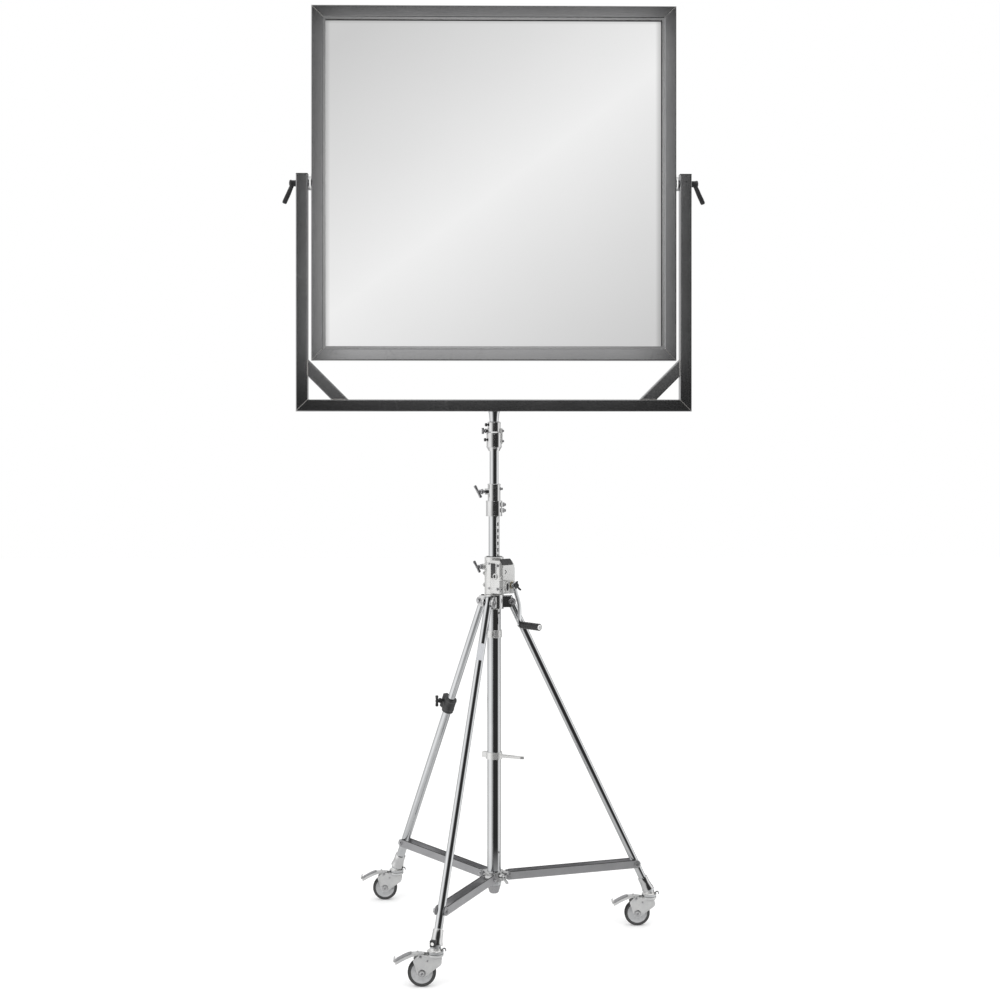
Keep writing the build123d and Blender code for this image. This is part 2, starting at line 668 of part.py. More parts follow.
UPPER_ENDS = {"front": LEG_LENGTH - LEG_SHORT, "right": LEG_LENGTH - LEG_SHORT, "left": UPPER_LEG_END}
for side, azimuth in LEG_AZIMUTH.items():
    save(leg_tube(azimuth, UPPER_ENDS[side]), f"leg_tube_{side}")
    save(leg_shoe(azimuth, SLEEVE_R if side == "left" else LEG_R), f"leg_shoe_{side}")

# the levelling leg's lower tube slides on its upper tube
LEVEL_AZIMUTH = LEG_AZIMUTH["left"]
sleeve_wall = SLEEVE_R - LEG_R - FIT
save(
    leg_tube(LEVEL_AZIMUTH, LEG_LENGTH - LEG_SHORT, SLEEVE_R, sleeve_wall, SLEEVE_TOP),
    "level_leg_tube",
)

# its clamp, a collar with an ear on the outer side
CLAMP_LENGTH = 44.0
CLAMP_MOUTH = 12.0            # how far the clamp reaches above the lower tube
CLAMP_EAR = 24.0              # the ear's bolt is this far from the leg's axis
with BuildPart() as level_clamp:
    clamp_plane = leg_plane(LEVEL_AZIMUTH, SLEEVE_TOP - CLAMP_MOUTH)
    with BuildSketch(clamp_plane):
        Circle(SLEEVE_R + 5)
        with Locations((0, 18)):
            Rectangle(16, 26)
    extrude(amount=CLAMP_LENGTH)
    bore(clamp_plane.offset(-1), LEG_R + FIT, CLAMP_MOUTH + 1)
    bore(clamp_plane.offset(CLAMP_MOUTH), SLEEVE_R, CLAMP_LENGTH)
    ear_middle = clamp_plane.offset(20).from_local_coords((0, CLAMP_EAR, 0))
    ear_axis = Plane(origin=ear_middle, z_dir=sideways(LEVEL_AZIMUTH))
    with Locations(ear_axis):
        Cylinder(STEM_R + FIT, 60, mode=Mode.SUBTRACT)
    down_the_leg = Axis(origin=(0, 0, 0), direction=clamp_plane.z_dir)
    long_edges = level_clamp.edges().filter_by(down_the_leg).sort_by(SortBy.LENGTH)
    fillet(long_edges[-2:], 1)
save(level_clamp.part, "level_clamp")
save(t_knob(28, STEM_R, 34, 5), "level_knob", ear_axis.offset(-6.8).location)

# ================= spreader =================

HUB_KNOB_AZIMUTH = 48.0
BRACE_PIN_R = 3.0
with BuildPart() as spreader_hub:
    ring(Plane.XY.offset(HUB_Z - HUB_HALF), HUB_R, COLUMN_R + FIT, 2 * HUB_HALF)
    for azimuth in LEG_AZIMUTH.values():
        with BuildSketch(upright(azimuth)):
            with Locations((BRACE_PIVOT_RADIUS, HUB_Z)):
                Circle(9)
            with Locations((32, HUB_Z)):
                Rectangle(20, 18)
        extrude(amount=BRACE_INSIDE - GAP, both=True)
        pivot = outward(azimuth) * BRACE_PIVOT_RADIUS + UP * HUB_Z
        reach = BRACE_INSIDE + BRACE_SHEET + GAP
        pin_start = pivot - sideways(azimuth) * (reach + 3)
        with BuildSketch(Plane(origin=pin_start, z_dir=sideways(azimuth))):
            Circle(BRACE_PIN_R)
        extrude(amount=2 * reach + 6)
        for side in (-1, 1):
            head = pivot + sideways(azimuth) * side * reach
            with BuildSketch(Plane(origin=head, z_dir=sideways(azimuth) * side)):
                Circle(5.5)
            extrude(amount=3)
    with BuildSketch(facing(HUB_KNOB_AZIMUTH, 22, HUB_Z)):
        Circle(8)
    extrude(amount=12)
    bore(Plane.XY.offset(HUB_Z - 30), COLUMN_R + FIT, 60)
    bore(facing(HUB_KNOB_AZIMUTH, 20, HUB_Z), STEM_R + FIT, 20)
save(spreader_hub.part, "spreader_hub")
hub_seat = facing(HUB_KNOB_AZIMUTH, 21, HUB_Z)
save(t_knob(26, STEM_R, 34, 4), "hub_knob", hub_seat.location)

WEB_START = 20.0              # the brace's floor starts this far from its hub pivot
WEB_CUT = 130.0               # and stops this far short of the leg


def brace(azimuth):
    """A spreader brace: a channel, open at the top, whose sides straddle the leg."""
    rise = radians(BRACE_RISE)
    along = outward(azimuth) * cos(rise) + UP * sin(rise)
    pivot = outward(azimuth) * BRACE_PIVOT_RADIUS + UP * HUB_Z
    across = Plane(origin=pivot, x_dir=along, z_dir=-sideways(azimuth))
    with BuildPart() as bar:
        for side in (-1, 1):
            with BuildSketch(across.offset(side * (BRACE_INSIDE + BRACE_SHEET / 2))):
                with Locations((BRACE_LENGTH / 2, 0)):
                    SlotCenterToCenter(BRACE_LENGTH, 2 * BRACE_HALF)
                with Locations((0, 0)):
                    Circle(BRACE_PIN_R + FIT, mode=Mode.SUBTRACT)
            extrude(amount=BRACE_SHEET / 2, both=True)
            side_face = across.offset(-side * (BRACE_INSIDE + BRACE_SHEET))
            head = side_face.from_local_coords((BRACE_LENGTH, 0, 0))
            with BuildSketch(Plane(origin=head, z_dir=sideways(azimuth) * side)):
                RegularPolygon(6, 6)
            extrude(amount=4)
        floor = Plane(origin=pivot - across.y_dir * BRACE_HALF, x_dir=along, z_dir=across.y_dir)
        with BuildSketch(floor):
            with Locations(((WEB_START + BRACE_LENGTH - WEB_CUT) / 2, 0)):
                Rectangle(BRACE_LENGTH - WEB_CUT - WEB_START, 2 * BRACE_INSIDE + 1)
        extrude(amount=BRACE_SHEET)
    return bar.part


for side, azimuth in LEG_AZIMUTH.items():
    save(brace(azimuth), f"spreader_brace_{side}")

# ================= castors =================

PEDAL_PIVOT = (-40.0, 83.0)
CHEEK_INSIDE = 12.5
CHEEK = 2.5
CHEEK_FACE = CHEEK_INSIDE + CHEEK
CROWN_PLATE = 80.0            # height of the fork's swivel plate
AXLE_R = 4.0
PEDAL_PIN_R = 2.5


def castor_fork():
    """The swivelling fork with its stem, its axle and the brake pedal's pin."""
    with BuildPart() as fork:
        with BuildSketch(Plane.XY.offset(CROWN_PLATE)):
            Circle(19)
        extrude(amount=FLANGE_BOTTOM - CROWN_PLATE - 0.5)
        with BuildSketch(Plane.XY.offset(CROWN_PLATE)):
            Circle(CASTOR_STEM_R)
        extrude(amount=25.5)
        for side in (-1, 1):
            with BuildSketch(Plane.XZ.offset(side * (CHEEK_INSIDE + CHEEK / 2))):
                with Locations((-TRAIL, WHEEL_RADIUS)):
                    Circle(12)
                with Locations((4, 68)):
                    Circle(13)
                with Locations(PEDAL_PIVOT):
                    Circle(5)
                with Locations((-54, 70)):
                    Circle(5)
                make_hull()
            extrude(amount=CHEEK / 2, both=True)
        with BuildSketch(Plane.XY.offset(CROWN_PLATE - 2.5)):
            with Locations((-4, 0)):
                Rectangle(40, 2 * CHEEK_FACE)
        extrude(amount=3.5)
        with BuildSketch(Plane.XZ.offset(-(CHEEK_FACE + 4))):
            with Locations((-TRAIL, WHEEL_RADIUS)):
                Circle(AXLE_R)
        extrude(amount=2 * (CHEEK_FACE + 4))
        for side in (-1, 1):
            nut_middle = (-TRAIL, side * CHEEK_FACE, WHEEL_RADIUS)
            with BuildSketch(Plane(origin=nut_middle, z_dir=(0, side, 0))):
                RegularPolygon(7, 6)
            extrude(amount=4)
        with BuildSketch(Plane.XZ.offset(-(CHEEK_FACE + 1))):
            with Locations(PEDAL_PIVOT):
                Circle(PEDAL_PIN_R)
        extrude(amount=2 * (CHEEK_FACE + 1))
    return fork.part


TREAD_EDGE = 33.0             # radius of the tyre's shoulder
# one side of the wheel from the tyre's shoulder to the bore: out from the middle, radius
WHEEL_SIDE = [
    (WHEEL_HALF, TREAD_EDGE),
    (WHEEL_HALF, 31),
    (8, 29),
    (8, 27),
    (5, 23),
    (7, 13),
    (11.5, 10),
    (11.5, AXLE_R + FIT),
]


def castor_wheel():
    """The wheel, a dished centre moulded into a crowned tyre, about the Y axis."""
    with BuildPart() as wheel:
        with BuildSketch(Plane.YX):
            with BuildLine():
                Polyline(*[(-side, r) for side, r in WHEEL_SIDE], *reversed(WHEEL_SIDE))
                ThreePointArc(WHEEL_SIDE[0], (0, WHEEL_RADIUS), (-WHEEL_HALF, TREAD_EDGE))
            make_face()
        revolve(axis=Axis.Y)
    return wheel.part


PEDAL_SHEET = 3.0
PEDAL_HALF = 8.0
TREAD_HALF = 15.0
TREAD = [(-84, 79), (-104, 68), (-109, 68), (-111, 73)]


def brake_pedal():
    """The brake pedal: a bent strip on the pin, with a wide tread and a curled lip."""
    with BuildPart() as pedal:
        with BuildSketch(Plane.XZ):
            with BuildLine():
                Polyline((-29, 88), (-44, 89), (-62, 87), *TREAD)
            trace(line_width=PEDAL_SHEET)
        extrude(amount=PEDAL_HALF, both=True)
        with BuildSketch(Plane.XZ):
            with BuildLine():
                Polyline((-74, 83), *TREAD)
            trace(line_width=PEDAL_SHEET)
        extrude(amount=TREAD_HALF, both=True)
        with BuildSketch(Plane.XZ):
            with Locations(PEDAL_PIVOT):
                Circle(6)
        extrude(amount=PEDAL_HALF, both=True)
        pin_middle = (PEDAL_PIVOT[0], 0, PEDAL_PIVOT[1])
        with Locations(Plane(origin=pin_middle, z_dir=(0, 1, 0))):
            Cylinder(PEDAL_PIN_R + FIT, 60, mode=Mode.SUBTRACT)
    return pedal.part


for side, azimuth in LEG_AZIMUTH.items():
    foot = Location(outward(azimuth) * FOOT_RADIUS)
    axle = foot * Location((-TRAIL, 0, WHEEL_RADIUS))
    save(castor_fork(), f"castor_fork_{side}", foot)
    save(castor_wheel(), f"castor_wheel_{side}", axle)
    save(brake_pedal(), f"brake_pedal_{side}", foot)

# ================= yoke =================

SPIGOT_BOTTOM = 1450.0
SPIGOT_PLATE_R = 15.5

# spigot: a plate under the rail, a cone and a pin that turns in the socket
with BuildPart() as yoke_spigot:
    with BuildSketch(Plane.XZ):
        with BuildLine():
            Polyline(
                (0, SPIGOT_BOTTOM),
                (SPIGOT_R - 2, SPIGOT_BOTTOM),
                (SPIGOT_R, SPIGOT_BOTTOM + 2),
                (SPIGOT_R, SOCKET_TOP + GAP),
                (SPIGOT_R - 1, SOCKET_TOP + 1),
                (SPIGOT_PLATE_R, RAIL_BOTTOM - 4),
                (SPIGOT_PLATE_R, RAIL_BOTTOM),
                (0, RAIL_BOTTOM),
                close=True,
            )
        make_face()
    revolve(axis=Axis.Z)
save(yoke_spigot.part, "yoke_spigot")

with BuildPart() as yoke_rail:
    square_tube((-YOKE_HALF, 0, RAIL_BOTTOM + TUBE / 2), (1, 0, 0), 2 * YOKE_HALF)
    mitre((-YOKE_HALF, 0, RAIL_BOTTOM), (-1, 0, 1))
    mitre((YOKE_HALF, 0, RAIL_BOTTOM), (1, 0, 1))
save(yoke_rail.part, "yoke_rail")

CAP_THICK = 3.0
with BuildPart() as yoke_arms:
    middle = YOKE_HALF - TUBE / 2
    square_tube((middle, 0, RAIL_BOTTOM), (0, 0, 1), ARM_TOP - CAP_THICK - RAIL_BOTTOM)
    mitre((YOKE_HALF, 0, RAIL_BOTTOM), (-1, 0, -1))
    with Locations(Plane(origin=(middle, 0, TILT_Z), z_dir=(1, 0, 0))):
        Cylinder(PIVOT_BOLT_R + FIT, 60, mode=Mode.SUBTRACT)
    mirror(about=Plane.YZ)
save(yoke_arms.part, "yoke_arms")

# corner braces of the same tube at 45 degrees
BRACE_LOW = 68.0
with BuildPart() as yoke_braces:
    half_step = TUBE * 2 ** 0.5 / 2
    reach = BRACE_LOW + half_step
    start = Vector(-ARM_INSIDE - TUBE, 0, RAIL_TOP + reach + TUBE)
    square_tube(start, (1, 0, -1), 3 * reach)
    split(bisect_by=Plane(origin=(-ARM_INSIDE, 0, 0), z_dir=(1, 0, 0)), keep=Keep.TOP)
    split(bisect_by=Plane(origin=(0, 0, RAIL_TOP), z_dir=(0, 0, 1)), keep=Keep.TOP)
    mirror(about=Plane.YZ)
save(yoke_braces.part, "yoke_braces")

# plastic caps on the arms' tops
with BuildPart() as arm_caps:
    for side in (-1, 1):
        arm_end = Plane(origin=(side * (YOKE_HALF - TUBE / 2), 0, ARM_TOP - CAP_THICK))
        with BuildSketch(arm_end):
            RectangleRounded(TUBE, TUBE, TUBE_CORNER)
        extrude(amount=CAP_THICK)
        with BuildSketch(arm_end):
            RectangleRounded(TUBE_BORE, TUBE_BORE, BORE_CORNER)
        extrude(amount=-10)
save(arm_caps.part, "arm_caps")

# ================= panel =================

PANEL_LOW = TILT_Z - PANEL_HALF_H
PANEL_HIGH = TILT_Z + PANEL_HALF_H

for name, side in (("frame_left", -1), ("frame_right", 1)):
    with BuildPart() as frame_side:
        middle = side * (PANEL_HALF_W - TUBE / 2)
        square_tube((middle, 0, PANEL_LOW), (0, 0, 1), 2 * PANEL_HALF_H)
        mitre((side * PANEL_HALF_W, 0, PANEL_LOW), (-side, 0, -1))
        mitre((side * PANEL_HALF_W, 0, PANEL_HIGH), (-side, 0, 1))
        with Locations(Plane(origin=(side * PANEL_HALF_W, 0, TILT_Z), z_dir=(1, 0, 0))):
            Cylinder(PIVOT_BOLT_R, 2 * TUBE_WALL + 2, mode=Mode.SUBTRACT)
    save(frame_side.part, name)

for name, height, way in (("frame_bottom", PANEL_LOW, 1), ("frame_top", PANEL_HIGH, -1)):
    with BuildPart() as frame_rail:
        square_tube((-PANEL_HALF_W, 0, height + way * TUBE / 2), (1, 0, 0), 2 * PANEL_HALF_W)
        mitre((-PANEL_HALF_W, 0, height), (-1, 0, way))
        mitre((PANEL_HALF_W, 0, height), (1, 0, way))
    save(frame_rail.part, name)


def pane(front, thick):
    """A sheet that fills the frame's opening."""
    with BuildPart() as sheet:
        with BuildSketch(Plane(origin=(0, front, TILT_Z), x_dir=(1, 0, 0), z_dir=(0, 1, 0))):
            Rectangle(2 * OPENING_HALF_W, 2 * OPENING_HALF_H)
        extrude(amount=thick)
    return sheet.part


save(pane(GLASS_FRONT, GLASS_THICK), "mirror_glass")
save(pane(GLASS_FRONT + GLASS_THICK, BOARD_THICK), "backing_board")

# glazing beads, four in front of the glass and four behind the board, mitred
BEAD_DEPTH = 8.0
with BuildPart() as glazing_beads:
    for start in (GLASS_FRONT - BEAD_DEPTH, GLASS_FRONT + GLASS_THICK + BOARD_THICK):
        for across, up in ((0, -1), (1, 0), (0, 1), (-1, 0)):
            w = OPENING_HALF_W
            h = OPENING_HALF_H
            if across:
                outer = [(across * w, -h), (across * w, h)]
                inner = [(across * (w - BEAD), h - BEAD), (across * (w - BEAD), BEAD - h)]
            else:
                outer = [(-w, up * h), (w, up * h)]
                inner = [(w - BEAD, up * (h - BEAD)), (BEAD - w, up * (h - BEAD))]
            with BuildSketch(Plane(origin=(0, start, TILT_Z), x_dir=(1, 0, 0), z_dir=(0, -1, 0))):
                with BuildLine():
                    Polyline(*outer, *inner, close=True)
                make_face()
            extrude(amount=-BEAD_DEPTH, mode=Mode.ADD, clean=False)
save(glazing_beads.part, "glazing_beads")

# the two tilt bolts, fixed in the panel's sides, each with a wide shoulder for a spacer
SHOULDER = ARM_INSIDE - PANEL_HALF_W - GAP
SPACER_R = 20.0
BOLT_PROUD = 12.0             # the bolt stands this far out of the arm
with BuildPart() as tilt_bolts:
    for side in (-1, 1):
        inside = (side * (PANEL_HALF_W - TUBE_WALL), 0, TILT_Z)
        with BuildSketch(Plane(origin=inside, z_dir=(side, 0, 0))):
            Circle(PIVOT_BOLT_R)
        extrude(amount=YOKE_HALF + BOLT_PROUD - PANEL_HALF_W + TUBE_WALL)
        with BuildSketch(Plane(origin=inside, z_dir=(-side, 0, 0))):
            Circle(10)
        extrude(amount=5)
        with BuildSketch(Plane(origin=(side * PANEL_HALF_W, 0, TILT_Z), z_dir=(side, 0, 0))):
            Circle(SPACER_R)
        extrude(amount=SHOULDER)
save(tilt_bolts.part, "tilt_bolts")


def tilt_lever(side):
    """A clamp lever: a hub on the tilt bolt and a handle that slopes away and down."""
    with BuildPart() as lever:
        hub_start = (side * (YOKE_HALF + GAP), 0, TILT_Z)
        hub = Plane(origin=hub_start, x_dir=(0, 1, 0), z_dir=(side, 0, 0))
        slope = (side * 0.38, 0, -0.92)
        with BuildSketch(hub):
            Circle(9)
        extrude(amount=18)
        with BuildSketch(Plane(origin=(side * (YOKE_HALF + 12), 0, TILT_Z - 2), z_dir=slope)):
            RectangleRounded(11, 11, 3)
        with BuildSketch(Plane(origin=(side * (YOKE_HALF + 34), 0, TILT_Z - 58), z_dir=slope)):
            RectangleRounded(15, 13, 5)
        loft()
        bore(hub.offset(-1), PIVOT_BOLT_R + FIT, 14)
    return lever.part


save(tilt_lever(-1), "tilt_lever_left")
save(tilt_lever(1), "tilt_lever_right")
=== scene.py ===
import json
import math
import random

import bmesh
import bpy
from mathutils import Matrix, Vector


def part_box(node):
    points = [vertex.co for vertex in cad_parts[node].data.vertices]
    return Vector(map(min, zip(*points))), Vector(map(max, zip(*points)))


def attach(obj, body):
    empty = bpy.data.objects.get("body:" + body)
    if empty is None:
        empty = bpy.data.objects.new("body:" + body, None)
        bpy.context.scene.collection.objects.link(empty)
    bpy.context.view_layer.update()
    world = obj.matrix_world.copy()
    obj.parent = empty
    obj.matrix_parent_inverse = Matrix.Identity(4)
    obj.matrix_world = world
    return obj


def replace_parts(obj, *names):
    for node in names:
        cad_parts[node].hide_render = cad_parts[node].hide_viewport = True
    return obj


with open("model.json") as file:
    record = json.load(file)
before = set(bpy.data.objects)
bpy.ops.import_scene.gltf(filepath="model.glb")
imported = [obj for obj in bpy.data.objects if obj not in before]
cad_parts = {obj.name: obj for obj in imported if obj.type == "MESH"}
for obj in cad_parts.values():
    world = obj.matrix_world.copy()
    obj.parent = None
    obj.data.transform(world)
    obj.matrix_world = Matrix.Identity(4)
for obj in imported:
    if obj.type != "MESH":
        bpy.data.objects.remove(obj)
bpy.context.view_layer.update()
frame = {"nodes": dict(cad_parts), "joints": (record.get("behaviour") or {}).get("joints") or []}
NODES = frame["nodes"]
JOINTS = {j["name"]: j for j in frame["joints"]}
MM = 0.001
UP = Vector((0, 0, 1))
random.seed(7)


def pivot(joint):
    """A joint's anchor in the shared frame."""
    return Vector(JOINTS[joint]["pos_m"])


def axis_of(joint):
    """A joint's axis as a unit vector."""
    return Vector(JOINTS[joint]["axis"]).normalized()


MAST = Vector((0, pivot("yoke_pan").y, 0))
SIDES = ("front", "right", "left")
TILT = pivot("panel_tilt")


# ------ camera
CAMERA_FROM_MAST = Vector((-0.0575, -4.7745, 1.4792))
CAMERA_TURN = (math.pi / 2 + 0.0003, 0, -0.0157)
camera_data = bpy.data.cameras.new("camera")
camera_data.lens = 58.51
camera_data.sensor_width = 36
camera_data.shift_y = -0.07
camera_data.clip_end = 60
camera = bpy.data.objects.new("camera", camera_data)
bpy.context.scene.collection.objects.link(camera)
camera.location = MAST + CAMERA_FROM_MAST
camera.rotation_euler = CAMERA_TURN
bpy.context.scene.camera = camera


# ------ node helpers
class Tree:
    """A small wrapper for building a node tree."""

    def __init__(self, tree):
        self.tree = tree
        tree.nodes.clear()

    def add(self, kind, **values):
        """A node, with properties by name and inputs given as in_Name=value."""
        node = self.tree.nodes.new(kind)
        for key, value in values.items():
            if key.startswith("in_"):
                name = key[3:].replace("_", " ")
                socket = node.inputs[int(name)] if name.isdigit() else node.inputs[name]
                if isinstance(value, bpy.types.NodeSocket):
                    self.tree.links.new(value, socket)
                else:
                    socket.default_value = value
            else:
                setattr(node, key, value)
        return node

    def link(self, out, into):
        self.tree.links.new(out, into)

    def math(self, operation, a, b=0.0, c=0.0):
        node = self.tree.nodes.new("ShaderNodeMath")
        node.operation = operation
        for socket, value in zip(node.inputs, (a, b, c)):
            if isinstance(value, bpy.types.NodeSocket):
                self.tree.links.new(value, socket)
            else:
                socket.default_value = value
        return node.outputs[0]

    def ramp(self, factor, stops):
        node = self.tree.nodes.new("ShaderNodeValToRGB")
        elements = node.color_ramp.elements
        elements[0].position, elements[1].position = stops[0][0], stops[-1][0]
        for position, _ in stops[1:-1]:
            elements.new(position)
        for element, (position, colour) in zip(elements, stops):
            if isinstance(colour, (int, float)):
                colour = (colour, colour, colour)
            element.color = (*colour, 1)
        self.tree.links.new(factor, node.inputs[0])
        return node.outputs[0]

    def spread(self, factor, low, high):
        """Maps 0 to 1 onto low to high."""
        node = self.add("ShaderNodeMapRange", in_0=factor)
        node.inputs["To Min"].default_value = low
        node.inputs["To Max"].default_value = high
        return node.outputs[0]


MATERIALS = {}


def noise(t, vector, scale, detail=3.0, rough=0.55):
    node = t.add("ShaderNodeTexNoise", in_Vector=vector, in_Scale=scale, in_Detail=detail, in_Roughness=rough)
    return node.outputs[0]


def stretched(t, stretch, turn=(0, 0, 0)):
    """Object coordinates squeezed along the axes, for grain and brushing."""
    coordinates = t.add("ShaderNodeTexCoord").outputs["Object"]
    mapping = t.add("ShaderNodeMapping", in_Vector=coordinates)
    mapping.inputs["Scale"].default_value = stretch
    mapping.inputs["Rotation"].default_value = turn
    return mapping.outputs[0]


def surface(
    name,
    colour,
    vary=0.1,
    tint=None,
    rough=(0.3, 0.4),
    metal=1.0,
    cloud=9.0,
    grain=(1, 1, 1),
    turn=(0, 0, 0),
    grain_scale=400.0,
    bump=0.05,
    depth=0.0004,
    coat=0.0,
    scratches=0.0,
    specular=0.5,
    wear=0.0,
):
    """A procedural surface: clouded colour, grain in roughness and bump, fine scratches and rubbed edges."""
    material = bpy.data.materials.new(name)
    material.use_nodes = True
    t = Tree(material.node_tree)
    shader = t.add("ShaderNodeBsdfPrincipled")
    out = t.add("ShaderNodeOutputMaterial")
    t.link(shader.outputs[0], out.inputs[0])
    shader.inputs["Metallic"].default_value = metal
    shader.inputs["Coat Weight"].default_value = coat
    shader.inputs["Coat Roughness"].default_value = 0.12
    shader.inputs["Specular IOR Level"].default_value = specular
    flat = stretched(t, (1, 1, 1))
    along = stretched(t, grain, turn)
    clouds = noise(t, flat, cloud, 4.0)
    fine = noise(t, along, grain_scale, 2.0)
    low = tuple(c * (1 - vary) for c in colour)
    high = tuple(min(1, c * (1 + vary)) for c in (tint or colour))
    mixed = t.math("MULTIPLY_ADD", fine, 0.45, t.math("MULTIPLY", clouds, 0.55))
    base = t.ramp(mixed, [(0.32, low), (0.68, high)])
    uneven = t.math("MULTIPLY_ADD", fine, 0.6, t.math("MULTIPLY", clouds, 0.4))
    roughness = t.spread(uneven, rough[0], rough[1])
    height = fine
    if scratches:
        lines = t.add(
            "ShaderNodeTexVoronoi",
            feature="DISTANCE_TO_EDGE",
            in_Vector=stretched(t, (1, 1, 0.12), (0.3, 0.5, 0.2)),
            in_Scale=34.0,
        ).outputs["Distance"]
        mark = t.ramp(lines, [(0.0, 1.0), (0.02, 0.0)])
        patch = t.ramp(noise(t, flat, 17.0, 2.0), [(0.52, 0.0), (0.66, 1.0)])
        mark = t.math("MULTIPLY", t.math("MULTIPLY", mark, patch), scratches)
        roughness = t.math("ADD", roughness, t.math("MULTIPLY", mark, 0.25))
        height = t.math("SUBTRACT", height, mark)
    if wear:
        edge = t.ramp(t.add("ShaderNodeNewGeometry").outputs["Pointiness"], [(0.51, 0.0), (0.58, 1.0)])
        rubbed = t.math("MULTIPLY", t.math("MULTIPLY", edge, t.ramp(clouds, [(0.35, 0.2), (0.6, 1.0)])), wear)
        light = tuple(min(1, c * 1.6 + 0.12) for c in colour)
        mix = t.add("ShaderNodeMix", data_type="RGBA", in_0=rubbed)
        t.link(base, mix.inputs[6])
        mix.inputs[7].default_value = (*light, 1)
        base = mix.outputs[2]
        roughness = t.math("SUBTRACT", roughness, t.math("MULTIPLY", rubbed, 0.12))
    t.link(base, shader.inputs["Base Color"])
    t.link(roughness, shader.inputs["Roughness"])
    lift = t.add("ShaderNodeBump", in_Height=height)
    lift.inputs["Strength"].default_value = bump
    lift.inputs["Distance"].default_value = depth
    t.link(lift.outputs[0], shader.inputs["Normal"])
    MATERIALS[name] = material
    return material


surface("chrome", (0.74, 0.75, 0.76), 0.06, None, (0.03, 0.1), cloud=14, grain=(1, 1, 0.05),
        grain_scale=260, bump=0.02, scratches=0.25)
surface("chrome_dark", (0.5, 0.5, 0.51), 0.1, None, (0.05, 0.14), cloud=14, grain_scale=260, bump=0.02,
        scratches=0.25)
surface("cast", (0.76, 0.76, 0.75), 0.06, None, (0.2, 0.34), 0.75, cloud=26, grain_scale=900, bump=0.12,
        depth=0.0003, scratches=0.3, wear=0.25)
surface("cast_hub", (0.64, 0.64, 0.64), 0.12, None, (0.12, 0.24), 1.0, cloud=30, grain_scale=900,
        bump=0.16, depth=0.0003, scratches=0.3, wear=0.25)
surface("zinc", (0.54, 0.545, 0.55), 0.08, (0.56, 0.56, 0.55), (0.24, 0.4), 0.35, cloud=60,
        grain_scale=700, bump=0.08, scratches=0.35, wear=0.2)
surface("polished", (0.76, 0.76, 0.76), 0.07, None, (0.07, 0.15), cloud=26, grain_scale=900, bump=0.05,
        depth=0.0002, scratches=0.3, wear=0.2)
surface("bolt", (0.5, 0.5, 0.51), 0.14, None, (0.22, 0.4), cloud=70, grain_scale=900, bump=0.08, wear=0.3)
surface("knob", (0.42, 0.42, 0.43), 0.15, None, (0.28, 0.44), cloud=60, grain_scale=900, bump=0.12,
        wear=0.4)
surface("bronze", (0.55, 0.4, 0.16), 0.15, (0.62, 0.5, 0.25), (0.25, 0.4), cloud=60, grain_scale=800,
        bump=0.08)
surface("bead", (0.74, 0.74, 0.74), 0.06, None, (0.16, 0.26), cloud=20, grain_scale=500, bump=0.06)
STEEL = {
    "vary": 0.08, "rough": (0.07, 0.13), "cloud": 5, "grain_scale": 1400, "bump": 0.05, "depth": 0.0002,
    "scratches": 0.2,
}
surface("steel_x", (0.5, 0.5, 0.505), grain=(0.012, 1, 1), **STEEL)
surface("steel_z", (0.5, 0.5, 0.505), grain=(1, 1, 0.012), **STEEL)
surface("steel_45", (0.5, 0.5, 0.505), 0.08, None, (0.1, 0.18), cloud=8, grain=(0.03, 1, 1),
        turn=(0, 0.7854, 0), grain_scale=1400, bump=0.07, depth=0.0002, scratches=0.2)
surface("weld", (0.62, 0.6, 0.57), 0.25, (0.7, 0.68, 0.66), (0.2, 0.45), cloud=160, grain_scale=900,
        bump=0.3, depth=0.0004)
surface("brace", (0.36, 0.36, 0.37), 0.1, None, (0.26, 0.42), 0.55, cloud=18, grain=(1, 1, 0.2),
        grain_scale=900, bump=0.08, scratches=0.3)
surface("mirror", (0.93, 0.93, 0.93), 0.01, None, (0.004, 0.012), cloud=3, grain_scale=300, bump=0.0)
surface("board", (0.16, 0.16, 0.165), 0.04, (0.17, 0.17, 0.172), (0.5, 0.68), 0.0, 7, grain_scale=1200,
        bump=0.2, depth=0.0003, scratches=0.2)
surface("black", (0.014, 0.014, 0.015), 0.35, (0.02, 0.02, 0.021), (0.3, 0.46), 0.0, 60, grain_scale=1500,
        bump=0.14, depth=0.0002, wear=0.3)
surface("rubber", (0.012, 0.012, 0.012), 0.3, (0.02, 0.02, 0.02), (0.6, 0.8), 0.0, 50, grain_scale=1600,
        bump=0.3, depth=0.0003)
surface("sidewall", (0.05, 0.05, 0.05), 0.1, None, (0.55, 0.7), 0.0, 50, grain_scale=1600, bump=0.2,
        depth=0.0002)
surface("grey_plastic", (0.47, 0.475, 0.48), 0.05, None, (0.4, 0.52), 0.0, 40, grain_scale=1500,
        bump=0.08, depth=0.0002)
surface("white_plastic", (0.8, 0.8, 0.79), 0.04, None, (0.35, 0.5), 0.0, 40, grain_scale=1500, bump=0.08,
        depth=0.0002)
surface("label", (0.5, 0.51, 0.53), 0.05, None, (0.35, 0.5), 0.0, 60, grain_scale=1500, bump=0.05)
# near-black surface that stands in for shade: painted shade in recesses, wells, slits and along the braces'
# channels, and painted shadow beside the mirror glass
surface("painted_shade_dark", (0.03, 0.03, 0.032), 0.3, (0.06, 0.06, 0.06), (0.35, 0.5), 0.4, 40,
        grain_scale=900, bump=0.1)


# ------ outlines and lines
def scaled(points):
    """Points in millimetres as metres."""
    return [(x * MM, y * MM) for x, y in points]


def circle(radius, steps):
    turns = [2 * math.pi * i / steps for i in range(steps)]
    return [(radius * math.cos(a), radius * math.sin(a)) for a in turns]


def ellipse(a, b, steps):
    return [(x * a, y * b) for x, y in circle(1.0, steps)]


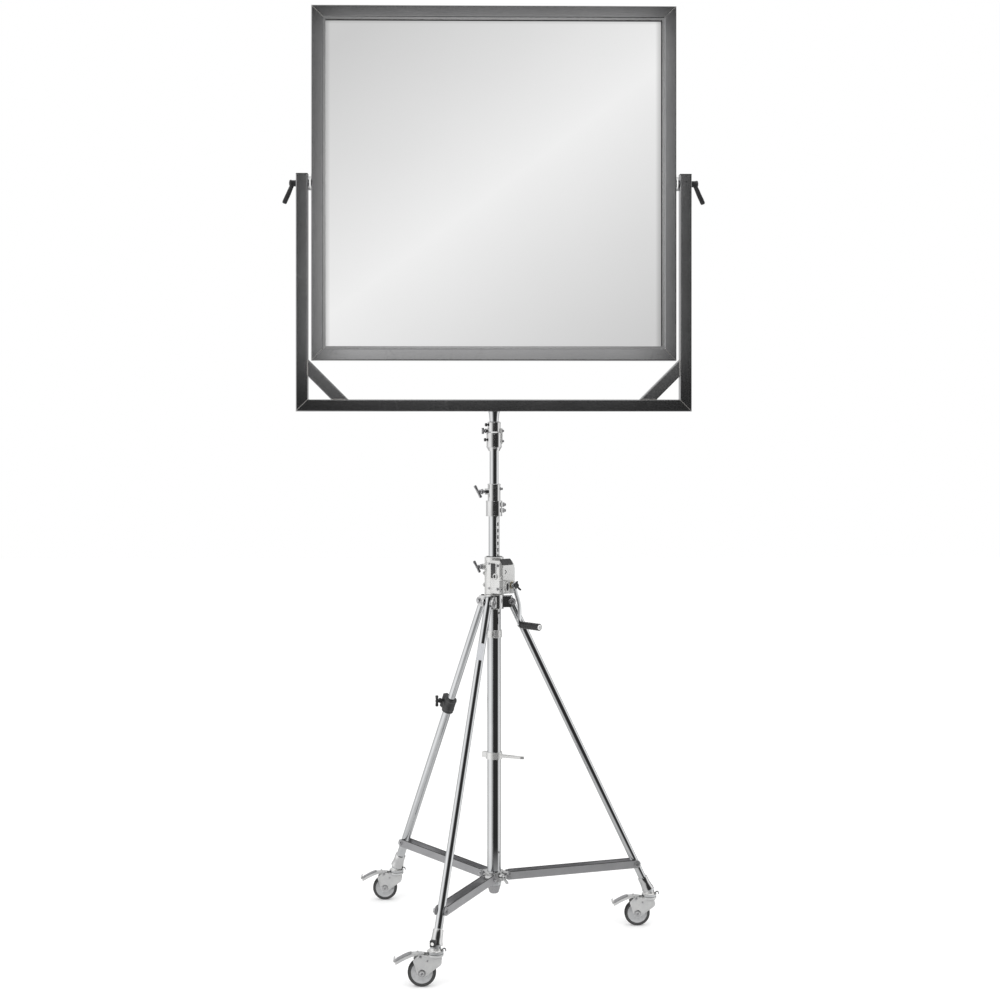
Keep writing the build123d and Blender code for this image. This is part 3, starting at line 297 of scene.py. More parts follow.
def rounded(width, height, radius, steps=5, shift=0):
    """The outline of a rounded rectangle, moved along X by a shift."""
    points = []
    for sx, sy, start in ((1, 1, 0), (-1, 1, 90), (-1, -1, 180), (1, -1, 270)):
        for k in range(steps + 1):
            a = math.radians(start + 90 * k / steps)
            x = shift + sx * (width / 2 - radius) + radius * math.cos(a)
            points.append((x, sy * (height / 2 - radius) + radius * math.sin(a)))
    return points


def mirrored(half):
    """A profile and its mirror image, as one run of points."""
    return half + [(r, -y) for r, y in reversed(half)]


def hull(points):
    """The convex outline of 2D points, anticlockwise."""

    def turn(a, b, c):
        return (b[0] - a[0]) * (c[1] - a[1]) - (b[1] - a[1]) * (c[0] - a[0])

    def half(run):
        chain = []
        for p in run:
            while len(chain) > 1 and turn(chain[-2], chain[-1], p) <= 1e-12:
                chain.pop()
            chain.append(p)
        return chain[:-1]

    points = sorted(set(points))
    return half(points) + half(points[::-1])


def spline(points, steps):
    """A Catmull-Rom line through 3D points."""
    line = []
    for i in range(len(points) - 1):
        p0, p1, p2 = points[max(i - 1, 0)], points[i], points[i + 1]
        p3 = points[min(i + 2, len(points) - 1)]
        for k in range(steps):
            u = k / steps
            bend = (2 * p0 - 5 * p1 + 4 * p2 - p3) * u * u + (3 * p1 - p0 - 3 * p2 + p3) * u**3
            line.append(0.5 * (2 * p1 + (p2 - p0) * u + bend))
    line.append(points[-1])
    return line


# ------ mesh helpers
def placed(origin, z, x=None):
    """A matrix whose Z points along z from an origin."""
    z = Vector(z).normalized()
    if x is None:
        x = Vector((1, 0, 0)) if abs(z.x) < 0.9 else Vector((0, 1, 0))
    x = Vector(x)
    x = (x - z * x.dot(z)).normalized()
    m = Matrix((x, z.cross(x), z)).transposed().to_4x4()
    m.translation = Vector(origin)
    return m


def finish_mesh(bm, name, material, body, matrix=None, slot=None, bevel=0.0, smooth=35, segments=2):
    """Turns a bmesh into a piece that rides on a body. The bevel is in millimetres."""
    bmesh.ops.remove_doubles(bm, verts=bm.verts, dist=1e-6)
    bmesh.ops.recalc_face_normals(bm, faces=bm.faces)
    if matrix is not None:
        bm.transform(matrix)
        if matrix.determinant() < 0:
            bmesh.ops.reverse_faces(bm, faces=bm.faces)
    mesh = bpy.data.meshes.new(name)
    bm.to_mesh(mesh)
    bm.free()
    piece = bpy.data.objects.new(name, mesh)
    bpy.context.scene.collection.objects.link(piece)
    mesh.materials.append(MATERIALS[material])
    if bevel:
        edge = piece.modifiers.new("bevel", "BEVEL")
        edge.width = bevel * MM
        edge.segments = segments
        edge.limit_method = "ANGLE"
        edge.angle_limit = math.radians(30)
        edge.harden_normals = False
    mesh.shade_smooth()
    for e in mesh.edges:
        e.use_edge_sharp = False
    mesh.set_sharp_from_angle(angle=math.radians(smooth))
    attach(piece, body)
    return piece


def lathe_into(bm, profile, matrix=Matrix.Identity(4), steps=48, closed=False):
    """Turns a profile of (radius, z) points in millimetres about Z. Ends on the axis close with a fan."""
    rings = []
    for r, z in scaled(profile):
        ring = circle(r, steps) if r > 1e-7 else [(0, 0)]
        rings.append([bm.verts.new(matrix @ Vector((x, y, z))) for x, y in ring])
    following = rings[1:] + rings[:1] if closed else rings[1:]
    for a, b in zip(rings, following):
        for i in range(steps):
            j = (i + 1) % steps
            if len(a) > 1 and len(b) > 1:
                bm.faces.new((a[i], a[j], b[j], b[i]))
            elif len(a) > 1:
                bm.faces.new((a[i], a[j], b[0]))
            elif len(b) > 1:
                bm.faces.new((a[0], b[i], b[j]))


def lathe(name, profile, matrix, material, body, steps=48, closed=True, **finish):
    """A turned piece from a profile in millimetres."""
    bm = bmesh.new()
    lathe_into(bm, profile, steps=steps, closed=closed)
    return finish_mesh(bm, name, material, body, matrix, **finish)


def prism_into(bm, outline, low, high, matrix=Matrix.Identity(4), hole=None):
    """A closed prism between two heights, from an outline in millimetres and another as its hole."""

    def wall(points, flip):
        bottom, top = (
            [bm.verts.new(matrix @ Vector((x, y, z))) for x, y in scaled(points)]
            for z in (low * MM, high * MM)
        )
        for i in range(len(points)):
            j = (i + 1) % len(points)
            face = (bottom[i], bottom[j], top[j], top[i])
            bm.faces.new(face[::-1] if flip else face)
        return bottom, top

    bottom, top = wall(outline, False)
    if hole is None:
        bm.faces.new(bottom[::-1])
        bm.faces.new(top)
        return
    inner_bottom, inner_top = wall(hole, True)
    for i in range(len(outline)):
        j = (i + 1) % len(outline)
        bm.faces.new((bottom[j], bottom[i], inner_bottom[i], inner_bottom[j]))
        bm.faces.new((top[i], top[j], inner_top[j], inner_top[i]))


def plate(name, outline, low, high, matrix, material, body="base", hole=None, **finish):
    """A plate or a rim from a 2D outline in millimetres."""
    bm = bmesh.new()
    prism_into(bm, outline, low, high, hole=hole)
    return finish_mesh(bm, name, material, body, matrix, **finish)


def ears_into(bm, outline, half):
    """Two flat ears, left and right of Z, from one outline."""
    for way in (-1, 1):
        turned = Matrix(((0, 0, 1, 0), (way, 0, 0, 0), (0, 1, 0, 0), (0, 0, 0, 1)))
        prism_into(bm, outline, -half, half, turned)


def sweep_into(bm, path, section, up, scales=None):
    """Sweeps a 2D section along 3D points; up keeps it from twisting. The ends are capped."""
    rings = []
    for i, p in enumerate(path):
        along = (path[min(i + 1, len(path) - 1)] - path[max(i - 1, 0)]).normalized()
        side = along.cross(up).normalized()
        top = side.cross(along).normalized()
        wide, high = scales[i] if scales else (1, 1)
        rings.append([bm.verts.new(p + side * x * wide + top * y * high) for x, y in section])
    n = len(section)
    for a, b in zip(rings, rings[1:]):
        for i in range(n):
            j = (i + 1) % n
            bm.faces.new((a[i], a[j], b[j], b[i]))
    bm.faces.new(rings[0][::-1])
    bm.faces.new(rings[-1])


def bolt(name, body, origin, direction, across, height, washer, material="bolt"):
    """A hexagon bolt head with a turned chamfer, on a washer, sizes in millimetres."""
    bm = bmesh.new()
    lathe_into(bm, [(0, 0), (washer, 0), (washer, 1.2), (washer * 0.93, 1.5), (0, 1.5)], steps=32)
    steps = 24
    rings = []
    for z, chamfered in ((1.5, False), (1.5 + height * 0.82, False), (1.5 + height, True)):
        ring = []
        for i in range(steps):
            a = 2 * math.pi * i / steps
            flat = across / 2 / math.cos(a % (math.pi / 3) - math.pi / 6)
            r = across / 2 * 0.95 if chamfered else flat
            ring.append(bm.verts.new(Vector((r * math.cos(a), r * math.sin(a), z)) * MM))
        rings.append(ring)
    for a, b in zip(rings, rings[1:]):
        for i in range(steps):
            j = (i + 1) % steps
            bm.faces.new((a[i], a[j], b[j], b[i]))
    bm.faces.new(rings[-1])
    bm.faces.new(rings[0][::-1])
    return finish_mesh(bm, name, material, body, placed(origin, direction), slot="bolt_steel", smooth=30)


def button(name, body, origin, direction, radius, height, material="bolt", slot="bolt_steel", socket=True):
    """A domed screw head, with a round socket or without, sizes in millimetres."""
    dome = [(0, 0), (1, 0), (1, 0.25), (0.9, 0.65), (0.66, 0.92)]
    dome += [(0.45, 1), (0.42, 0.45), (0, 0.4)] if socket else [(0.35, 1), (0, 1)]
    profile = [(r * radius, z * height) for r, z in dome]
    return lathe(name, profile, placed(origin, direction), material, body, 28, False, slot=slot, smooth=40)


# ------ materials and soft edges on the CAD nodes
def each(names):
    """The meshes' objects by name, where a * stands for each of the three sides."""
    for name in names:
        for side in SIDES if "*" in name else ("",):
            yield NODES[name.replace("*", side)]


def dress(material, *names):
    for node in each(names):
        node.data.materials.clear()
        node.data.materials.append(MATERIALS[material])
        for polygon in node.data.polygons:
            polygon.material_index = 0


dress("chrome", "column_tube", "riser_1_tube", "riser_2_tube", "crank_arm", "crank_shaft", "yoke_spigot")
dress("chrome", "leg_tube_*", "level_leg_tube", "leg_shoe_*")
dress("chrome_dark", "column_foot", "pinion_shaft")
dress("cast", "winch_housing", "winch_cover", "column_clip")
dress("polished", "leg_crown", "riser_collar", "top_socket")
dress("cast_hub", "spreader_hub")
dress("zinc", "castor_fork_*", "brake_pedal_*", "rack_strip")
dress("rubber", "castor_wheel_*")
dress("bolt", "leg_pivot_bolts", "cover_screws", "tilt_bolts")
dress("knob", "riser_lock_knob", "collar_knob", "socket_knob", "hub_knob", "level_knob")
dress("brace", "spreader_brace_*")
dress("black", "riser_bush", "crank_grip", "level_clamp", "tilt_lever_left", "tilt_lever_right", "arm_caps")
dress("bronze", "worm_wheel")
dress("steel_x", "yoke_rail", "frame_bottom", "frame_top")
dress("steel_z", "frame_left", "frame_right", "yoke_arms")
dress("steel_45", "yoke_braces")
dress("mirror", "mirror_glass")
dress("board", "backing_board")
dress("bead", "glazing_beads")


def soften(width, *names):
    """Rounds the sharp edges of CAD nodes with modifiers, which leave their meshes alone."""
    for node in each(names):
        weld = node.modifiers.new("weld", "WELD")
        weld.merge_threshold = 0.00002
        flat = node.modifiers.new("flat", "DECIMATE")
        flat.decimate_type = "DISSOLVE"
        flat.angle_limit = math.radians(1.0)
        edge = node.modifiers.new("edge", "BEVEL")
        edge.width = width * MM
        edge.segments = 2
        edge.limit_method = "ANGLE"
        edge.angle_limit = math.radians(35)
        edge.use_clamp_overlap = True
        edge.harden_normals = False
        turned = node.modifiers.new("turned", "WEIGHTED_NORMAL")
        turned.keep_sharp = False


soften(1.0, "winch_housing", "winch_cover", "level_clamp", "arm_caps")
soften(0.8, "leg_crown", "spreader_hub")
soften(0.5, "castor_fork_*")


# ------ places on the stand
LEG_AZIMUTH = {"front": -20.0, "right": 100.0, "left": 220.0}
A_AND_B = ((-1, "a"), (1, "b"))
NEAR_AND_FAR = ((-1, "near"), (1, "far"))
LEFT_AND_RIGHT = ((-1, "left"), (1, "right"))


def outward(azimuth):
    a = math.radians(azimuth)
    return Vector((math.sin(a), -math.cos(a), 0))


def sideways(azimuth):
    a = math.radians(azimuth)
    return Vector((math.cos(a), math.sin(a), 0))


def at(azimuth, out, side, z):
    """A point by azimuth, distance out and across in millimetres, and height in millimetres."""
    return MAST + (outward(azimuth) * out + sideways(azimuth) * side + UP * z) * MM


def on_mast(z):
    """A matrix on the mast's axis at a height in millimetres."""
    return placed(at(0, 0, 0, z), UP)


def on_floor(point):
    return Vector((point.x, point.y, 0))


# ------ castors
TYRE_HALF = [
    (29.0, -8.6), (30.2, -10.2), (33.0, -10.9), (35.4, -10.2), (37.1, -7.6), (37.9, -4.4), (37.3, -3.9),
    (37.3, -3.3), (38.0, -2.8),
]
SIDEWALL = [(29.0, 8.82), (29.4, 10.42), (31.0, 11.02), (33.6, 10.97), (34.6, 10.42), (33.0, 8.12)]
CENTRE_HALF = [
    (4.2, 11.3), (8.6, 11.4), (9.8, 10.8), (11.0, 8.4), (13.5, 6.6), (18.0, 5.4), (23.0, 5.4), (26.2, 7.0),
    (27.6, 8.4), (29.1, 8.5),
]
WHEEL_RIBS = 10
RIB = [(10.5, 5.0), (26.5, 5.0), (26.5, 7.1), (22.0, 6.5), (15.0, 7.6), (11.0, 9.6)]
RACE = [
    (14.0, 87.4), (19.4, 87.3), (21.4, 86.2), (22.0, 84.2), (21.6, 81.6), (19.6, 79.6), (17, 79), (14, 79.2),
]
RACE_SEAL = [(21.2, 87.5), (21.9, 87.8), (21.2, 88.1), (17, 88.0), (17, 87.6)]
# a fork cheek's outline wraps these circles: back and up from the floor under the swivel, and radius
CHEEK_Y = 15.0
CHEEK_CIRCLES = ((-36, 38, 12), (4, 68, 13), (-40, 83, 5), (-54, 70, 5))
CHEEK = hull([
    (round(cx + x, 3), round(cz + z, 3)) for cx, cz, r in CHEEK_CIRCLES for x, z in circle(r - 1.2, 40)
])
CHEEK_MIDDLE = [sum(p[k] for p in CHEEK) / len(CHEEK) for k in (0, 1)]
CHEEK_INSIDE = [
    (CHEEK_MIDDLE[0] + (x - CHEEK_MIDDLE[0]) * 0.9, CHEEK_MIDDLE[1] + (z - CHEEK_MIDDLE[1]) * 0.92)
    for x, z in CHEEK
]
PEDAL_LINE = [
    (-30, 87), (-44, 89), (-60, 87.6), (-74, 83.4), (-90, 76), (-102, 69.2), (-107.5, 67.6), (-111, 70),
    (-110.4, 73.6), (-107.6, 74.4),
]
PEDAL_EDGE = [(1, -1.2), (1.03, -0.6), (1.03, 0.6), (1, 1.2)]
PEDAL_SECTION = [(-1, -1.2 * MM)] + [(x, y * MM) for x, y in PEDAL_EDGE]
PEDAL_SECTION += [(-x, y * MM) for x, y in PEDAL_EDGE[:0:-1]]
PEDAL_TAB = [(-2.6, -4.2), (-1.2, -5.0), (1.2, -5.0), (2.6, -4.2), (3.4, 1), (-3.4, 1)]
PEDAL_UP = Vector((0, 0.0001, 1))
FLANGE_RUN = slice(4, 36)
PAD_RUN = slice(14, 33)


def castor_wheel(side):
    """A tyre with its sidewalls, on a ribbed plastic centre."""
    body = f"wheel_{side}"
    turned = placed(pivot(f"castor_{side}_roll"), (0, 1, 0), (1, 0, 0))
    tyre = lathe(f"tyre_{side}", mirrored(TYRE_HALF), turned, "rubber", body, 64)
    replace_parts(tyre, f"castor_wheel_{side}")
    for way, label in NEAR_AND_FAR:
        band = [(r, way * y) for r, y in SIDEWALL]
        lathe(f"sidewall_{label}_{side}", band, turned, "sidewall", body, 64)
    bm = bmesh.new()
    lathe_into(bm, mirrored(CENTRE_HALF), steps=64, closed=True)
    for k in range(WHEEL_RIBS):
        spoke = Matrix.Rotation(math.radians(360 / WHEEL_RIBS * k + 9), 4, "Z")
        for way in (-1, 1):
            rail = Matrix(((1, 0, 0, 0), (0, 0, 1, 0), (0, way, 0, 0), (0, 0, 0, 1)))
            prism_into(bm, RIB, -0.8, 0.8, spoke @ rail)
    finish_mesh(bm, f"wheel_centre_{side}", "grey_plastic", body, turned, smooth=32)


def castor_fork(side):
    """The swivel race, and the rims, washers and rivets on the fork's cheeks."""
    body = f"fork_{side}"
    axle, hinge = pivot(f"castor_{side}_roll"), pivot(f"brake_{side}_press")
    foot = on_floor(pivot(f"castor_{side}_swivel"))
    lathe(f"swivel_race_{side}", RACE, placed(foot, UP), "zinc", body)
    lathe(f"race_seal_{side}", RACE_SEAL, placed(foot, UP), "black", body)
    for way, label in NEAR_AND_FAR:
        out = (0, way, 0)

        def cheek(x, z, proud=0.0):
            return Vector((x, foot.y + way * (CHEEK_Y + proud) * MM, z))

        face = Matrix.Translation(foot) @ Matrix(((1, 0, 0, 0), (0, 0, way, 0), (0, 1, 0, 0), (0, 0, 0, 1)))
        plate(f"cheek_rim_{label}_{side}", CHEEK, CHEEK_Y - 0.2, CHEEK_Y + 1.1, face, "zinc", body,
              hole=CHEEK_INSIDE, bevel=0.4)
        washer = [(7.2, 0), (10.4, 0), (10.4, 1.0), (9.8, 1.4), (7.2, 1.4)]
        lathe(f"axle_washer_{label}_{side}", washer, placed(cheek(axle.x, axle.z), out), "bolt", body, 40,
              slot="zinc_steel")
        button(f"axle_end_{label}_{side}", body, cheek(axle.x, axle.z, 4), out, 4.4, 2.6, slot="zinc_steel")
        button(f"pedal_rivet_{label}_{side}", body, cheek(hinge.x, hinge.z, 0.6), out, 4.2, 2.2,
               slot="zinc_steel", socket=False)
        button(f"fork_rivet_{label}_{side}", body, cheek(foot.x - 0.021, 0.071), out, 2.6, 1.4,
               slot="zinc_steel", socket=False)


def brake_pedal(side):
    """A bent strip with flanges, a ribbed pad, a curled lip and small tabs."""
    body = f"pedal_{side}"
    foot = on_floor(pivot(f"castor_{side}_swivel"))
    line = spline([foot + Vector((x * MM, 0, z * MM)) for x, z in PEDAL_LINE], 6)
    widths = [8 + 6.5 * max(0.0, min(1.0, ((foot.x - p.x) / MM - 52) / 24)) for p in line]
    bm = bmesh.new()
    sweep_into(bm, line, PEDAL_SECTION, PEDAL_UP, [(w * MM, 1) for w in widths])
    for way in (-1, 1):
        edges = zip(line[FLANGE_RUN], widths[FLANGE_RUN])
        flange = [p + Vector((0, way * w * MM * 0.96, -0.0028)) for p, w in edges]
        sweep_into(bm, flange, scaled(rounded(1.6, 7.4, 0.6, 2)), PEDAL_UP)
    strip = finish_mesh(bm, f"brake_strip_{side}", "zinc", body, smooth=40)
    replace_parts(strip, f"brake_pedal_{side}")
    pad = [p + Vector((0.0006, 0, 0.0021)) for p in line[PAD_RUN]]
    pad_widths = widths[PAD_RUN]
    bm = bmesh.new()
    section = [(x * 0.92, y) for x, y in PEDAL_SECTION]
    sweep_into(bm, pad, section, PEDAL_UP, [(w * MM, 1) for w in pad_widths])
    for k in range(1, len(pad) - 1, 3):
        along = (pad[k + 1] - pad[k]).normalized()
        rib = placed(pad[k] + Vector((0, 0, 0.0008)), along.cross(Vector((0, 1, 0))) * -1, (0, 1, 0))
        w = pad_widths[k] * 0.86
        prism_into(bm, [(-w, -0.7), (w, -0.7), (w, 0.7), (-w, 0.7)], -0.4, 1.2, rib)
    finish_mesh(bm, f"pedal_pad_{side}", "knob", body, slot="zinc_steel", bevel=0.2, smooth=40)
    bm = bmesh.new()
    prism_into(bm, circle(6.2, 24), -8.4, 8.4, placed(pivot(f"brake_{side}_press"), (0, 1, 0)))
    for x, z in ((-48, 89.4), (-66, 86.6)):
        tab = placed(foot + Vector((x * MM, 0, z * MM)), (0, 1, 0), (1, 0, 0))
        prism_into(bm, PEDAL_TAB, -1, 1, tab)
    finish_mesh(bm, f"pedal_barrel_{side}", "zinc", body, bevel=0.3)


for side in SIDES:
    castor_wheel(side)
    castor_fork(side)
    brake_pedal(side)


# ------ screws with handles
def screw_place(joint):
    """A matrix at a joint's anchor along its axis."""
    along = axis_of(joint)
    return placed(pivot(joint), along, along.cross(UP) * -1)


def t_screw(name, node, body, joint, stem, stem_r, bar, bar_r, lean=0.0, material="knob"):
    """A cross-handled screw: a threaded stem, a turned boss and a bar with swelled ends."""
    profile = [(0, 0), (stem_r - 0.4, 0), (stem_r, 0.6)]
    z = 1.2
    while z < stem * 0.5:
        profile += [(stem_r, z), (stem_r - 0.45, z + 0.6)]
        z += 1.2
    boss = ((1, 0.53), (1.7, 0.55), (1.95, 0.6), (1.95, 0.72), (1.45, 0.8), (1.4, 0.95))
    profile += [(stem_r * r, stem * share) for r, share in boss]
    profile += [(stem_r * r, stem + bar_r * share) for r, share in ((1.2, 0.9), (0.7, 1.5), (0, 1.6))]
    bm = bmesh.new()
    lathe_into(bm, profile, steps=24)
    tilt = math.radians(lean)
    line, scales = [], []
    for k in range(17):
        share = abs(k / 8 - 1)
        u = (k / 8 - 1) * bar / 2
        line.append(Vector((0, u * math.cos(tilt), stem + bar_r * 0.7 + u * math.sin(tilt))) * MM)
        narrowing = 0.72 if share > 0.96 else 0.96 if share > 0.86 else 1.0
        swell = (0.74 + 0.36 * share**1.5) * narrowing
        scales.append((swell, swell))
    sweep_into(bm, line, scaled(circle(bar_r, 16)), Vector((1, 0, 0)), scales)
    piece = finish_mesh(bm, name, material, body, screw_place(joint), "knob_metal", smooth=40)
    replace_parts(piece, node)


t_screw("lock_screw", "riser_lock_knob", "riser_lock", "riser_lock_turn", 28, 4, 38, 4.6, lean=28)
t_screw("collar_handle", "collar_knob", "collar_screw", "collar_screw_turn", 28, 4, 40, 4.6, lean=28)
t_screw("socket_handle", "socket_knob", "socket_screw", "socket_screw_turn", 16, 3.5, 18, 3.8)
t_screw("level_handle", "level_knob", "level_screw", "level_screw_turn", 28, 4, 33, 4.8, material="black")


def hub_wing(stem=24, stem_r=4, ear=17):
    """The hub's wing screw: a boss with two ears."""
    bm = bmesh.new()
    boss = ((0, 0), (1, 0), (1, 0.5), (1.9, 0.54), (2.0, 0.8), (1.5, 1), (0.8, 1.06), (0, 1.08))
    lathe_into(bm, [(stem_r * r, stem * z) for r, z in boss], steps=24)
    outline = [(1, stem * 0.56), (5, stem * 0.6)]
    outline += [
        (ear * x, stem * z)
        for x, z in (
            (0.62, 0.86), (0.9, 1.02), (1, 1.22), (0.93, 1.4), (0.74, 1.43), (0.52, 1.28), (0.3, 1.0),
        )
    ]
    outline.append((1, stem * 0.96))
    ears_into(bm, outline, 2.1)
    place = screw_place("hub_screw_turn")
    piece = finish_mesh(bm, "hub_wing", "cast_hub", "hub_screw", place, "knob_metal", 0.9, 40, 3)
    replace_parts(piece, "hub_knob")


hub_wing()


# ------ tilt levers
LEVER_SEAT = [
    (6.2, 0.5), (9.6, 0.5), (9.9, 1.6), (9.2, 2.4), (9.2, 12.5), (10.2, 14), (10.2, 17.5), (8.8, 19.6),
    (6.0, 20.2), (5.6, 19.4), (0, 19.2),
]
LEVER_LINE = [(8, 1), (13, -8), (18, -19), (23, -31), (28.5, -43), (33, -53), (35.5, -59.5)]
LEVER_SQUARENESS = 0.72


def squared(value):
    """Pushes a unit circle's coordinate outward, for a squarer section."""
    return math.copysign(abs(value) ** LEVER_SQUARENESS, value)


LEVER_SECTION = [(squared(x) * 6.4 * MM, squared(y) * 5.8 * MM) for x, y in circle(1.0, 24)]
LEVER_SCREW = [(0, 19.2), (5.2, 19.2), (5.2, 20.4), (4.6, 21), (2.6, 21), (2.5, 19.9), (0, 19.8)]
LEVER_WASHER = [(6.4, 0.02), (13, 0.02), (13, 0.3), (6.4, 0.3)]


def tilt_lever(way, name):
    """A clamping lever with a swelled grip, its cap screw, and the washer between it and the arm."""
    body = f"lever_{name}"
    hub = pivot(f"lever_{name}_turn")
    outside = placed(hub, (way, 0, 0))
    line = spline([hub + Vector((way * x * MM, 0, z * MM)) for x, z in LEVER_LINE], 5)
    scales = []
    for k in range(len(line)):
        u = k / (len(line) - 1)
        swell = 0.82 + 0.26 * u + 0.1 * math.sin(math.pi * min(1.0, u * 1.1))
        if u > 0.93:
            swell *= 0.86 if u < 0.98 else 0.55
        scales.append((swell, swell * 1.04))
    bm = bmesh.new()
    lathe_into(bm, LEVER_SEAT, outside, 40)
    sweep_into(bm, line, LEVER_SECTION, Vector((0, 1, 0)), scales)
    handle = finish_mesh(bm, f"clamp_lever_{name}", "black", body, smooth=38)
    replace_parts(handle, f"tilt_lever_{name}")
    lathe(f"lever_cap_screw_{name}", LEVER_SCREW, outside, "bolt", body, 28, False)
    lathe(f"lever_washer_{name}", LEVER_WASHER, outside, "bolt", "yoke", 40)


for way, label in LEFT_AND_RIGHT:
    tilt_lever(way, label)


# ------ crank
WINCH = 40.0
CRANK = pivot("crank_turn")
CRANK_AXIS = axis_of("crank_turn")
GRIP = pivot("grip_spin")
GRIP_OUT = (GRIP - CRANK).dot(CRANK_AXIS)
ARM_REACH = (GRIP - CRANK) - CRANK_AXIS * GRIP_OUT
ARM_START = CRANK + CRANK_AXIS * (GRIP_OUT - 0.003)
ARM_BOSS = [(5, -4.4), (10.4, -4.4), (11, -3.8), (11, 3.4), (9.6, 5.2), (5, 5.4)]
GRIP_PIN = [(0, -4.4), (7.4, -4.4), (8, -3.8), (8, 2.0), (6.8, 2.6), (4, 2.6), (4, 86), (0, 86)]
# the arm's bow: how far along it, and millimetres out
ARM_BOW = [
    (0.02, -1.6), (0.12, -1.4), (0.24, 0.6), (0.36, 4.4), (0.5, 6.4), (0.66, 5.0), (0.8, 1.6), (0.9, -0.8),
    (1.0, -1.6),
]
GRIP_RINGS = 6
GRIP_PITCH = 11.0
GRIP_RING = [(9.5, 0), (10.3, 3.4), (10.4, 5.5), (10.3, 7.6), (9.5, 10.6)]
NUT_EAR = [
    (1, 10.4), (6, 10.6), (12, 14), (15.6, 19), (15.2, 22.6), (12.6, 23.4), (9, 19.4), (5, 16.2), (1, 15.6),
]

bm = bmesh.new()
lathe_into(bm, ARM_BOSS, placed(ARM_START, CRANK_AXIS), 40, closed=True)
lathe_into(bm, GRIP_PIN, placed(ARM_START + ARM_REACH, CRANK_AXIS), 32)
line = spline([ARM_START + ARM_REACH * u + CRANK_AXIS * h * MM for u, h in ARM_BOW], 5)
sweep_into(bm, line, scaled(rounded(12.5, 5.2, 2.2, 4)), CRANK_AXIS)
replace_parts(finish_mesh(bm, "crank_lever", "chrome", "crank"), "crank_arm")

profile = [(4.2, 0), (8.6, 0), (9.6, 0.8), (10.2, 3), (9.4, 6)]
profile += [(r, 9 + k * GRIP_PITCH + z) for k in range(GRIP_RINGS) for r, z in GRIP_RING]
profile += [(10.2, 77), (10.4, 78.6), (9.6, 79.8), (7.2, 80), (4.2, 80)]
grip_place = placed(GRIP, CRANK_AXIS)
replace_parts(lathe("grip_cover", profile, grip_place, "black", "grip", 40, smooth=50), "crank_grip")
end = [(0, 79.8), (7.0, 79.8), (7.0, 80.8), (6.2, 81.4), (3.2, 81.4), (3.0, 80.6), (0, 80.5)]
lathe("grip_end", end, grip_place, "white_plastic", "grip", 32, False)
# bronze washer, and the small black wing nut on the shaft's end
bush = [(5.1, 0), (9.8, 0), (10.2, 0.5), (10.2, 1.6), (5.1, 1.6)]
lathe("crank_bush", bush, placed(ARM_START - CRANK_AXIS * 0.0109, CRANK_AXIS), "bronze", "base", 36)
bm = bmesh.new()
lathe_into(bm, [(0, 9.4), (6.6, 9.4), (7, 10.4), (6.2, 14.6), (4.2, 17), (0, 17.4)], steps=24)
ears_into(bm, NUT_EAR, 1.8)
nut_place = placed(ARM_START - CRANK_AXIS * 0.004, CRANK_AXIS, sideways(WINCH))
nut_place = nut_place @ Matrix.Rotation(math.radians(28), 4, "Z")
finish_mesh(bm, "crank_wing_nut", "black", "crank", nut_place, bevel=0.7, smooth=40)


# ------ winch housing
BOTTOM, TOP = (corner.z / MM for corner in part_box("winch_housing"))
FRONT, SIDE = outward(WINCH), sideways(WINCH)
FRONT_AT = 60
BLIND_AT = -24


def on_front(across, z):
    return placed(at(WINCH, FRONT_AT, across, z), FRONT, SIDE)


def on_blind_side(out, z):
    return placed(at(WINCH, out, BLIND_AT, z), -SIDE, FRONT)


# the recess's floor is a near-black plate: painted shade in the recess
recess = on_blind_side(25, BOTTOM + 70)
plate("housing_recess_painted_shade", rounded(21, 44, 3), -0.4, 0.9, recess, "painted_shade_dark", bevel=0.5)
plate("recess_rim", rounded(25, 48, 4.5), -0.4, 1.4, recess, "cast", hole=rounded(20.4, 43.4, 2.6), bevel=0.5)
sign = on_front(-8, BOTTOM + 68)
plate("arrow_plate", rounded(22, 26, 3), -0.4, 0.8, sign, "cast", bevel=0.5)
arrow = [(-3.4, 6), (-0.6, 6), (4.6, 0), (-0.6, -6), (-3.4, -6), (1.6, 0)]
plate("turn_arrow", arrow, -0.4, 1.15, sign, "black", bevel=0.1)
slope = placed(at(WINCH, 52.2, 1.5, TOP - 10.3), FRONT * 20 + UP * 17, SIDE)
plate("housing_corner", rounded(43, 22, 4), -0.4, 1.8, slope, "black", bevel=0.7)
boss = on_front(-3, BOTTOM + 24)
plate("boss_rim", ellipse(8, 14, 40), -0.4, 4.5, boss, "cast", hole=ellipse(5, 11, 40), bevel=0.9)
# the well inside the boss rim is a near-black plate: painted shade
plate("boss_well_painted_shade", ellipse(5.3, 11.3, 40), -0.4, 2.2, boss, "painted_shade_dark", bevel=0.5)
chamfer = (FRONT - SIDE).normalized()
button("housing_plug", "base", at(WINCH, 56, -20, BOTTOM + 50), chamfer, 5.2, 2.4, "cast", "cast_metal")
button("housing_screw_low", "base", at(WINCH, 56, -20, BOTTOM + 18), chamfer, 3.4, 2.0, slot="cast_metal")
